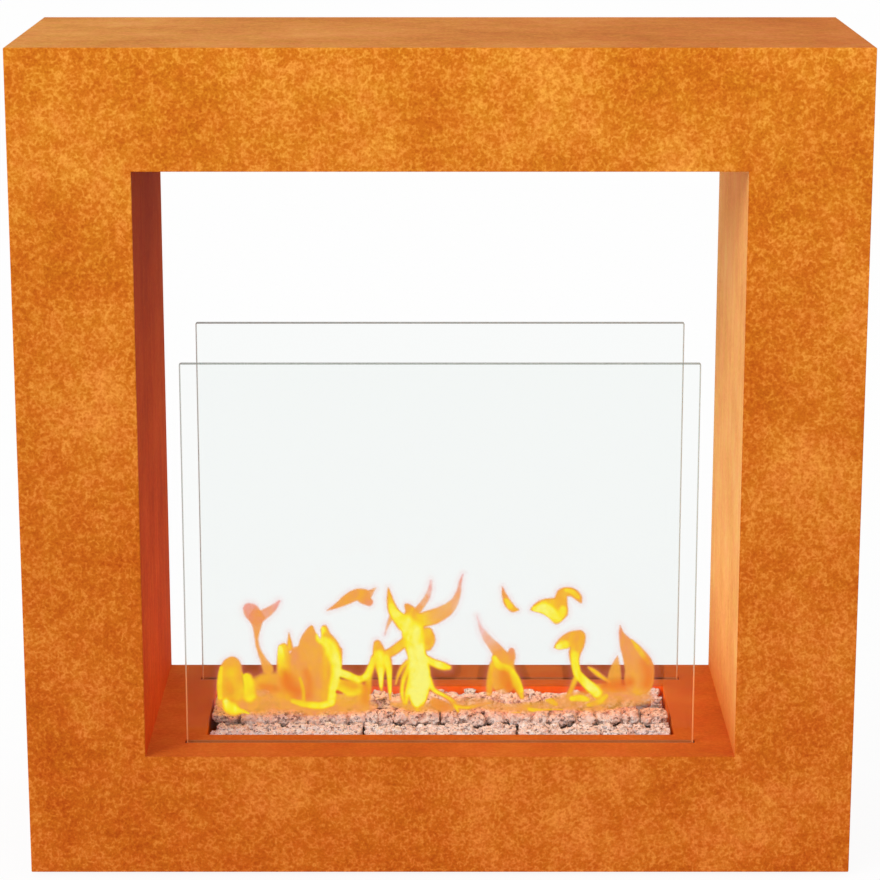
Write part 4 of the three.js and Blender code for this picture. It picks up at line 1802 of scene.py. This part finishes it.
FLAKES = (
    Stroke(((502.4, 587, 1), (504, 594, 2.8), (507.5, 602.5, 4.4), (512.6, 608.6, 4),
            (518, 609.8, 1.6)), (0.15, 0.6)),
    Stroke(((530.6, 609.6, 1.2), (538, 607, 5.4), (547, 606.6, 8.8), (556, 609, 11), (560, 611.5, 9)),
           (0.5, 0.6)),
    Stroke(((557, 614, 9), (556.4, 619.6, 5)), (0.6, 0.5)),
    Stroke(((560, 608, 8.4), (561, 599, 7), (563, 593, 5.8), (571, 592, 5), (577.6, 596.4, 4.4),
            (581, 602, 1.8)),
           (0.5, 0.42)),
)
HOOK = (
    Stroke(((554.4, 647.4, 1.4), (562, 643.6, 6), (571, 639.4, 8.4), (578.6, 637, 7.2)), (0.55, 0.42)),
    Stroke(((579.4, 636.6, 6.8), (578.6, 644, 6.8), (575, 652, 6.6), (574.8, 662, 5), (577, 673, 4.4)),
           (0.45, 0.72)),
    Stroke(((577, 673, 4.4), (585, 682, 5.2), (596, 691, 6.4), (604, 700, 5)), (0.75, 0.7)),
    Stroke(((576, 678, 3.4), (572, 688, 3.2), (569, 697, 4)), (0.6, 0.5), (0.97, 0.85)),
    Stroke(((588.6, 667.4, 1.6), (594, 671, 3), (602, 677, 2.8), (610, 682.4, 1.8)), (0.75, 0.6)),
)
RIGHT_PEAK = (
    Stroke(((620, 625.6, 1), (622, 635, 3.6), (627, 645, 7.6), (634, 656, 12), (639.4, 668, 15),
            (639, 680, 15)),
           (0.2, 0.36)),
    Stroke(((639, 680, 15), (638, 692, 12)), (0.36, 0.4), (0.95, 0.5)),
    Stroke(((617.6, 656, 1.2), (616.4, 663, 3.8), (615, 672, 6.5), (614, 684, 8)), (0.44, 0.4),
           (0.95, 0.85)),
    Stroke(((600, 689, 6), (612, 690, 7), (626, 692, 7)), (0.4, 0.36), (0.85, 0.7)),
)
BASE_GLOW = (
    Stroke(((222, 702, 8), (240, 704, 10), (262, 702, 15), (284, 704, 12), (306, 706, 11), (334, 708, 9)),
           (0.38, 0.3), (0.84, 0.8), 8.0),
    Stroke(((256, 684, 9), (270, 682, 12), (282, 688, 15)), (0.5, 0.4), (0.98, 0.96), 7.0),
    Stroke(((334, 707, 8), (364, 707, 8), (376, 706, 4)), (0.36, 0.3), (0.84, 0.7), 8.0),
    Stroke(((392, 704, 4), (410, 707, 6), (430, 708, 6), (450, 708, 5)), (0.38, 0.3), (0.82, 0.72), 7.0),
    Stroke(((450, 703, 5), (470, 702, 6), (486, 704, 7), (504, 708, 6), (526, 708, 7)), (0.28, 0.3),
           (0.6, 0.76), 8.0),
    Stroke(((524, 708, 7), (546, 705, 7), (574, 701, 11), (598, 701, 12), (622, 698, 11), (640, 698, 9),
            (650, 699, 6)),
           (0.36, 0.22), (0.8, 0.68), 8.0),
)
THIN_PATCHES = (
    Stroke(((500, 696, 5), (506, 703, 4)), (0.34, 0.34), (0.45, 0.5)),
    Stroke(((272, 713, 4), (300, 715, 3)), (0.34, 0.34), (0.4, 0.3)),
    Stroke(((610, 707, 3), (630, 706, 4)), (0.34, 0.34), (0.45, 0.4)),
)
EMBERS = (
    Stroke(((285, 674, 4), (289, 684, 7), (296, 692, 6)), (0.75, 0.8)),
    Stroke(((306, 672, 3), (309, 684, 4), (308, 696, 4)), (0.5, 0.6)),
    Stroke(((504, 673, 4), (507, 682, 6), (512, 691, 5)), (0.7, 0.8)),
    Stroke(((604, 685, 3), (617, 685, 5.5), (630, 682, 4)), (0.75, 0.75)),
    Stroke(((645, 663, 5), (649, 674, 6), (647, 684, 5)), (0.6, 0.7)),
    Stroke(((262, 686, 3), (270, 688, 4), (278, 689, 3)), (0.55, 0.55)),
    Stroke(((436, 702, 5), (444, 706, 5.6)), (0.5, 0.5)),
    Stroke(((228, 688, 5), (232, 698, 4)), (0.35, 0.35)),
    Stroke(((366, 686, 4), (366, 700, 4)), (0.45, 0.45)),
    Stroke(((344, 684, 4), (352, 686, 4)), (0.35, 0.35)),
)
HOT_STREAKS = (
    Stroke(((244, 674, 2), (248, 682, 4), (249, 696, 4.6)), (0.82, 0.75)),
    Stroke(((221, 668, 1.5), (219.6, 684, 2), (220, 697, 2)), (0.72, 0.75)),
    Stroke(((233, 672, 4), (236, 684, 4), (238, 694, 3)), (0.62, 0.6)),
    Stroke(((226, 702, 2.5), (230, 707, 4), (236, 710, 3)), (0.92, 0.85)),
    Stroke(((239, 710, 1.6), (245, 713, 2), (250, 716, 1.4)), (0.85, 0.8)),
    Stroke(((279.6, 648, 2.2), (281, 658, 3), (282, 674, 2.2)), (0.9, 0.6)),
    Stroke(((322, 630, 2.6), (319, 638, 2.8), (327, 643, 3.8), (333, 653, 4.8), (336.6, 667, 4),
            (334, 686, 3.4), (331, 702, 2.8)),
           (0.85, 0.9)),
    Stroke(((331, 703, 2.4), (320, 705.6, 2.6), (304, 704, 2.4), (293, 701, 1.8)), (0.9, 0.75)),
    Stroke(((338, 672, 2.6), (349, 676, 3), (359, 679.5, 2.6), (367, 675, 2.4), (373, 660, 2)),
           (0.92, 0.8)),
    Stroke(((342, 688, 2.6), (350, 692, 3.4), (358, 692, 2.4)), (0.74, 0.7)),
    Stroke(((379, 655, 3.5), (380.5, 668, 2.4), (381, 686, 1.4)), (0.85, 0.85)),
    Stroke(((386, 658, 2.4), (389, 672, 2), (390, 692, 1.4)), (0.85, 0.85)),
    Stroke(((391, 606, 2), (394, 613, 3), (404, 621, 5), (412, 632, 7), (415, 648, 6)), (0.85, 0.95)),
    Stroke(((416, 655, 6), (419, 672, 8), (418, 690, 7), (417, 703, 3)), (1.0, 1.0)),
    Stroke(((512, 672, 2), (516, 681, 3.4), (520, 690, 3)), (0.78, 0.75)),
    Stroke(((494, 658, 2), (500, 666, 2.8), (509, 669, 2.4)), (0.8, 0.65)),
    Stroke(((506, 600, 1.6), (510, 606, 2.4)), (0.66, 0.7)),
    Stroke(((535, 609, 2.4), (545, 608.6, 4.4), (552, 614, 4.6), (558, 618, 3.6), (563, 609, 2.4)),
           (0.95, 0.8)),
    Stroke(((566, 590, 1.4), (573, 592, 1.8), (578, 597, 1.4)), (0.7, 0.65)),
    Stroke(((559, 647, 2.6), (565, 644.6, 3.4)), (0.92, 0.8)),
    Stroke(((575, 655, 3), (575.5, 664, 3), (578, 674, 3), (587, 684, 3.6), (597, 693, 3.6)), (0.8, 0.92)),
    Stroke(((572, 698.6, 2), (580, 698, 2.6), (588, 699.6, 1.6)), (0.8, 0.62)),
    Stroke(((543, 693, 1.4), (548, 699, 2.4), (556, 704, 1.6)), (0.62, 0.54)),
    Stroke(((529, 709, 1.2), (543, 711.4, 2), (562, 710.6, 1.2)), (0.6, 0.64)),
    Stroke(((512, 713.6, 1), (519, 713.8, 1.2)), (0.7, 0.7)),
    Stroke(((632, 640, 1), (640, 651, 2), (648, 663, 1.4)), (0.62, 0.55)),
    Stroke(((300, 678, 1), (303, 690, 1.4), (304, 700, 1.2)), (0.65, 0.7)),
    Stroke(((606, 696, 1.8), (598, 702, 2.4), (588, 705, 1.4)), (0.64, 0.5)),
)
TONGUES = (
    LEFT_TONGUE, HEART, BROAD_BODY, WING, WAVE, SADDLE, CENTRE, HORN, FLAKES, HOOK, RIGHT_PEAK, BASE_GLOW,
)


def smooth_step(share: np.ndarray) -> np.ndarray:
    """0 below 0, 1 above 1 and a soft rise between."""
    held = np.clip(share, 0.0, 1.0)
    return held * held * (3 - 2 * held)


@dataclass
class Fire:
    """The flames above the mouth: a thin bellied veil whose outline follows the strokes.

    The veil's grid lies in the picture, so its outline holds however the veil sways in depth.
    """

    shop: Workshop
    studio: Studio
    step: float = 1.0  # pixels
    plane: float = -3.0 * MM  # middle of the flames
    lean: float = 42.0 * MM  # how far the foot of the flames reaches forward over the stones
    lean_from: float = 686.0  # pixels from the top of the picture
    lean_to: float = 710.0
    sway: tuple[float, float] = (5.0 * MM, 3.0 * MM)
    slow_wave: tuple[float, float] = (91.0, 147.0)  # pixels across and down of one wave
    quick_wave: tuple[float, float] = (33.0, 64.0)
    thickest: float = 11.0 * MM
    thick_from: float = 16.0  # pixels from the veil's edge to its full thickness
    starved: float = 0.004  # share of the flames' height that a shut damper leaves
    rim: float = 2.6  # pixels from the outline to the full heat
    rim_heat: float = 0.3
    outer_rim: float = 1.5  # pixels outside the outline over which heat and cover fade
    halo: float = 9.0  # pixels of pink glow round the outline
    halo_density: float = 0.15
    merge: float = 0.5  # pixels over which two strokes' outlines flow into one
    heat_spread: float = 1.8  # pixels over which the strokes' heats flow into one
    smoothing: int = 4  # pieces between two points of a stroke
    lamps: int = 4
    lamp_power: float = 0.16  # watts
    lamp_colour: Corner = (1.0, 0.66, 0.36)
    lamp_size: float = 45.0 * MM
    lamp_span: float = 420.0 * MM
    lamp_height: float = 245.0 * MM

    def build(self) -> None:
        """Makes the fire."""
        bodies = [stroke for tongue in TONGUES for stroke in tongue]
        made = self._veil(bodies, THIN_PATCHES + HOT_STREAKS)
        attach(made, "burner")
        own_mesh(made)
        made.visible_shadow = False
        self._light()
        LOG.info("%s rides on the burner and dies down as the damper shuts", made.name)

    def _light(self) -> None:
        """The fire's own soft light on the stones and the steel round it."""
        for i in range(self.lamps):
            data = bpy.data.lights.new(f"fire_light_{i}", "POINT")
            data.energy = self.lamp_power
            data.color = self.lamp_colour
            data.shadow_soft_size = self.lamp_size
            lamp = placed(bpy.data.objects.new(f"fire_light_{i}", data))
            lamp.location = ((i / (self.lamps - 1) - 0.5) * self.lamp_span, self.plane, self.lamp_height)
            lamp.visible_camera = lamp.visible_glossy = lamp.visible_transmission = False

    def _points(self, stroke: Stroke) -> np.ndarray:
        """Rows of across, down, half width, heat and density along a smooth curve of the stroke.

        Args:
            stroke: The stroke.

        Returns:
            The rows.
        """
        rows = np.array(stroke.path, float)
        ends = np.vstack([2 * rows[0] - rows[1], rows, 2 * rows[-1] - rows[-2]])
        points = []
        for i in range(len(rows) - 1):
            before, start, end, after = ends[i : i + 4]
            for t in np.arange(self.smoothing) / self.smoothing:
                curve = 2 * start + (end - before) * t
                curve = curve + (2 * before - 5 * start + 4 * end - after) * t**2
                curve = curve + (3 * start - before - 3 * end + after) * t**3
                points.append(curve / 2)
        points.append(rows[-1])
        curve = np.array(points)
        curve[:, 2] = np.maximum(curve[:, 2], 0.4)
        share = np.linspace(0.0, 1.0, len(curve))[:, None]
        heat = stroke.heat[0] + (stroke.heat[1] - stroke.heat[0]) * share
        density = stroke.density[0] + (stroke.density[1] - stroke.density[0]) * share
        return np.hstack([curve, heat, density])

    def _reach(self, spots: np.ndarray, stroke: Stroke) -> tuple[np.ndarray, np.ndarray]:
        """How deep each spot lies in a stroke, and the nearest point's values.

        Args:
            spots: Across and down of each spot, in pixels.
            stroke: The stroke.

        Returns:
            Depth inside the stroke's edge, negative outside, and half width, heat and density.
        """
        rows = self._points(stroke)
        best = np.full(len(spots), -1e3)
        values = np.zeros((len(spots), 3))
        for start, end in zip(rows, rows[1:]):
            along = end[:2] - start[:2]
            length = max(float(along @ along), 1e-9)
            share = np.clip(((spots - start[:2]) @ along) / length, 0.0, 1.0)
            gap = np.linalg.norm(spots - start[:2] - share[:, None] * along, axis=1)
            mixed = start[2:] + (end[2:] - start[2:]) * share[:, None]
            depth = mixed[:, 0] - gap
            nearer = depth > best
            best[nearer] = depth[nearer]
            values[nearer] = mixed[nearer]
        return best, values

    def _burn(self, spots: np.ndarray, strokes: Sequence[Stroke]) -> tuple[np.ndarray, ...]:
        """Depth, heat and cover of the joined strokes at each spot.

        Args:
            spots: Across and down of each spot, in pixels.
            strokes: The strokes.

        Returns:
            Depth, heat and cover.
        """
        joined = np.zeros(len(spots))
        weight = np.full(len(spots), 1e-9)
        heat = np.zeros(len(spots))
        clear = np.ones(len(spots))
        for stroke in strokes:
            depth, values = self._reach(spots, stroke)
            joined += np.exp(np.clip(depth - stroke.soft / 4, -40, 40) / self.merge)
            cover = smooth_step(depth / stroke.soft + 0.25) * values[:, 2]
            share = np.exp(np.clip(depth / self.heat_spread, -20, 9)) + cover * 0.2
            weight += share
            heat += share * values[:, 1]
            clear *= 1.0 - cover
        depth = self.merge * np.log(np.maximum(joined, 1e-30))
        heat = heat / weight
        inner = self.rim_heat + (heat - self.rim_heat) * smooth_step(depth / self.rim + 0.1)
        return depth, np.where(heat > self.rim_heat, inner, heat), 1.0 - clear

    def _touch(self, spots: np.ndarray, stroke: Stroke) -> tuple[np.ndarray, np.ndarray]:
        """How far each spot takes on a stroke drawn softly over the flames, and the stroke's values there."""
        depth, values = self._reach(spots, stroke)
        return smooth_step(depth / np.maximum(values[:, 0], 1e-6) * 0.8 + 0.75), values

    def _streaked(
        self, spots: np.ndarray, heat: np.ndarray, cover: np.ndarray, strokes: Sequence[Stroke]
    ) -> tuple[np.ndarray, np.ndarray]:
        """Heat and cover with the thin patches and hot streaks drawn over them.

        Args:
            spots: Across and down of each spot, in pixels.
            heat, cover: What the strokes below give.
            strokes: The patches and streaks.

        Returns:
            The new heat and cover.
        """
        for stroke in strokes:
            share, values = self._touch(spots, stroke)
            heat = heat + (values[:, 1] - heat) * share
            cover = cover + (values[:, 2] - cover) * share
        return heat, cover

    def _embers(self, spots: np.ndarray, strokes: Sequence[Stroke]) -> np.ndarray:
        """Share of the deep ember colour at each spot.

        Args:
            spots: Across and down of each spot, in pixels.
            strokes: The embers.

        Returns:
            The shares.
        """
        share = np.zeros(len(spots))
        for stroke in strokes:
            depth, values = self._reach(spots, stroke)
            near = smooth_step(depth / np.maximum(values[:, 0], 1e-6) * 0.45 + 0.55)
            share = np.maximum(share, near * values[:, 1])
        return share

    def _middle(self, across: np.ndarray, down: np.ndarray) -> np.ndarray:
        """Where the veil's middle lies in depth.

        Args:
            across, down: The spots, in pixels.

        Returns:
            y of each spot.
        """
        slow = np.sin(2 * math.pi * (across / self.slow_wave[0] + down / self.slow_wave[1]))
        quick = np.sin(2 * math.pi * (across / self.quick_wave[0] - down / self.quick_wave[1]) + 1.0)
        forward = smooth_step((down - self.lean_from) / (self.lean_to - self.lean_from))
        wave = (self.sway[0] * slow + self.sway[1] * quick) * (1.0 - forward)
        return self.plane + wave - self.lean * forward

    def _veil(self, bodies: Sequence[Stroke], streaks: Sequence[Stroke]) -> bpy.types.Object:
        """A closed mesh with a front and a back that meet along the outline.

        Args:
            bodies: The strokes that give the outline.
            streaks: The strokes that only thin or heat it.

        Returns:
            The piece.
        """
        points = np.vstack([self._points(stroke) for stroke in bodies])
        margin = points[:, 2].max() + self.halo
        low = points[:, :2].min(axis=0) - margin
        high = points[:, :2].max(axis=0) + margin
        axes = [np.arange(low[i], high[i], self.step) for i in range(2)]
        across, down = np.meshgrid(*axes, indexing="ij")
        spots = np.stack([across.ravel(), down.ravel()], axis=1)
        depth, heat, cover = self._burn(spots, bodies)
        heat, cover = self._streaked(spots, heat, cover, streaks)
        ember = self._embers(spots, EMBERS)
        shape = across.shape
        depth, heat, cover, ember = (values.reshape(shape) for values in (depth, heat, cover, ember))
        halo = smooth_step(1 + depth / self.halo)
        within = smooth_step(1 + depth / self.outer_rim)
        heat, cover = heat * within, cover * within
        cover = 1.0 - (1.0 - cover) * (1.0 - self.halo_density * halo * halo)
        inside = depth + self.halo > 0
        cells = inside[:-1, :-1] | inside[1:, :-1] | inside[:-1, 1:] | inside[1:, 1:]
        used = np.zeros(shape, bool)
        for di, dj in ((0, 0), (1, 0), (0, 1), (1, 1)):
            used[di : di + cells.shape[0], dj : dj + cells.shape[1]] |= cells
        rim = used & ~inside
        thick = self.thickest * np.sqrt(np.clip((depth + self.halo) / self.thick_from, 0.0, 1.0))
        middle = self._middle(across, down)
        front = -np.ones(shape, int)
        front[used] = np.arange(used.sum())
        back = front.copy()
        back[inside] = used.sum() + np.arange(inside.sum())
        sides = []
        for chosen, offset in ((used, -1.0), (inside, 1.0)):
            bulge = np.where(rim, 0.0, thick) * offset
            y = (middle + bulge)[chosen]
            x, z = self.studio.on_plane(across[chosen], down[chosen], y)
            sides.append(np.stack([x, y, z], axis=1))
        i, j = np.nonzero(cells)
        quads = [
            np.stack([side[i, j], side[i, j + 1], side[i + 1, j + 1], side[i + 1, j]], axis=1)
            for side in (front, back)
        ]
        quads[1] = quads[1][:, ::-1]
        mesh = bpy.data.meshes.new("flames")
        mesh.from_pydata(np.vstack(sides).tolist(), [], np.vstack(quads).tolist())
        veil = 1.0 - np.sqrt(1.0 - np.clip(cover, 0.0, 0.995))  # a ray passes the front and the back
        for name, values in (("warmth", heat), ("veil", veil), ("ember", ember)):
            stored = mesh.attributes.new(name, "FLOAT", "POINT")
            both = np.concatenate([values[used], values[inside]])
            stored.data.foreach_set("value", both.astype(np.float32))
        mesh.materials.append(self.shop.paint(Flame()))
        mesh.shade_smooth()
        mesh.validate()
        return placed(bpy.data.objects.new("flames", mesh))


# ---------------------------------------------------------------------------------------------------
# Assembly
# ---------------------------------------------------------------------------------------------------


def main() -> None:
    """Builds the fireplace round the frame."""
    logging.basicConfig(level=logging.INFO, format="%(name)s: %(message)s")
    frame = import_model()
    shop = Workshop(frame)
    studio = Studio()
    studio.build()
    Casing(shop).build()
    Glazing(shop).build()
    Burner(shop).build()
    StoneBed(shop).build()
    Feet(shop).build()
    Fire(shop, studio).build()


if __name__ == "__main__":
    main()
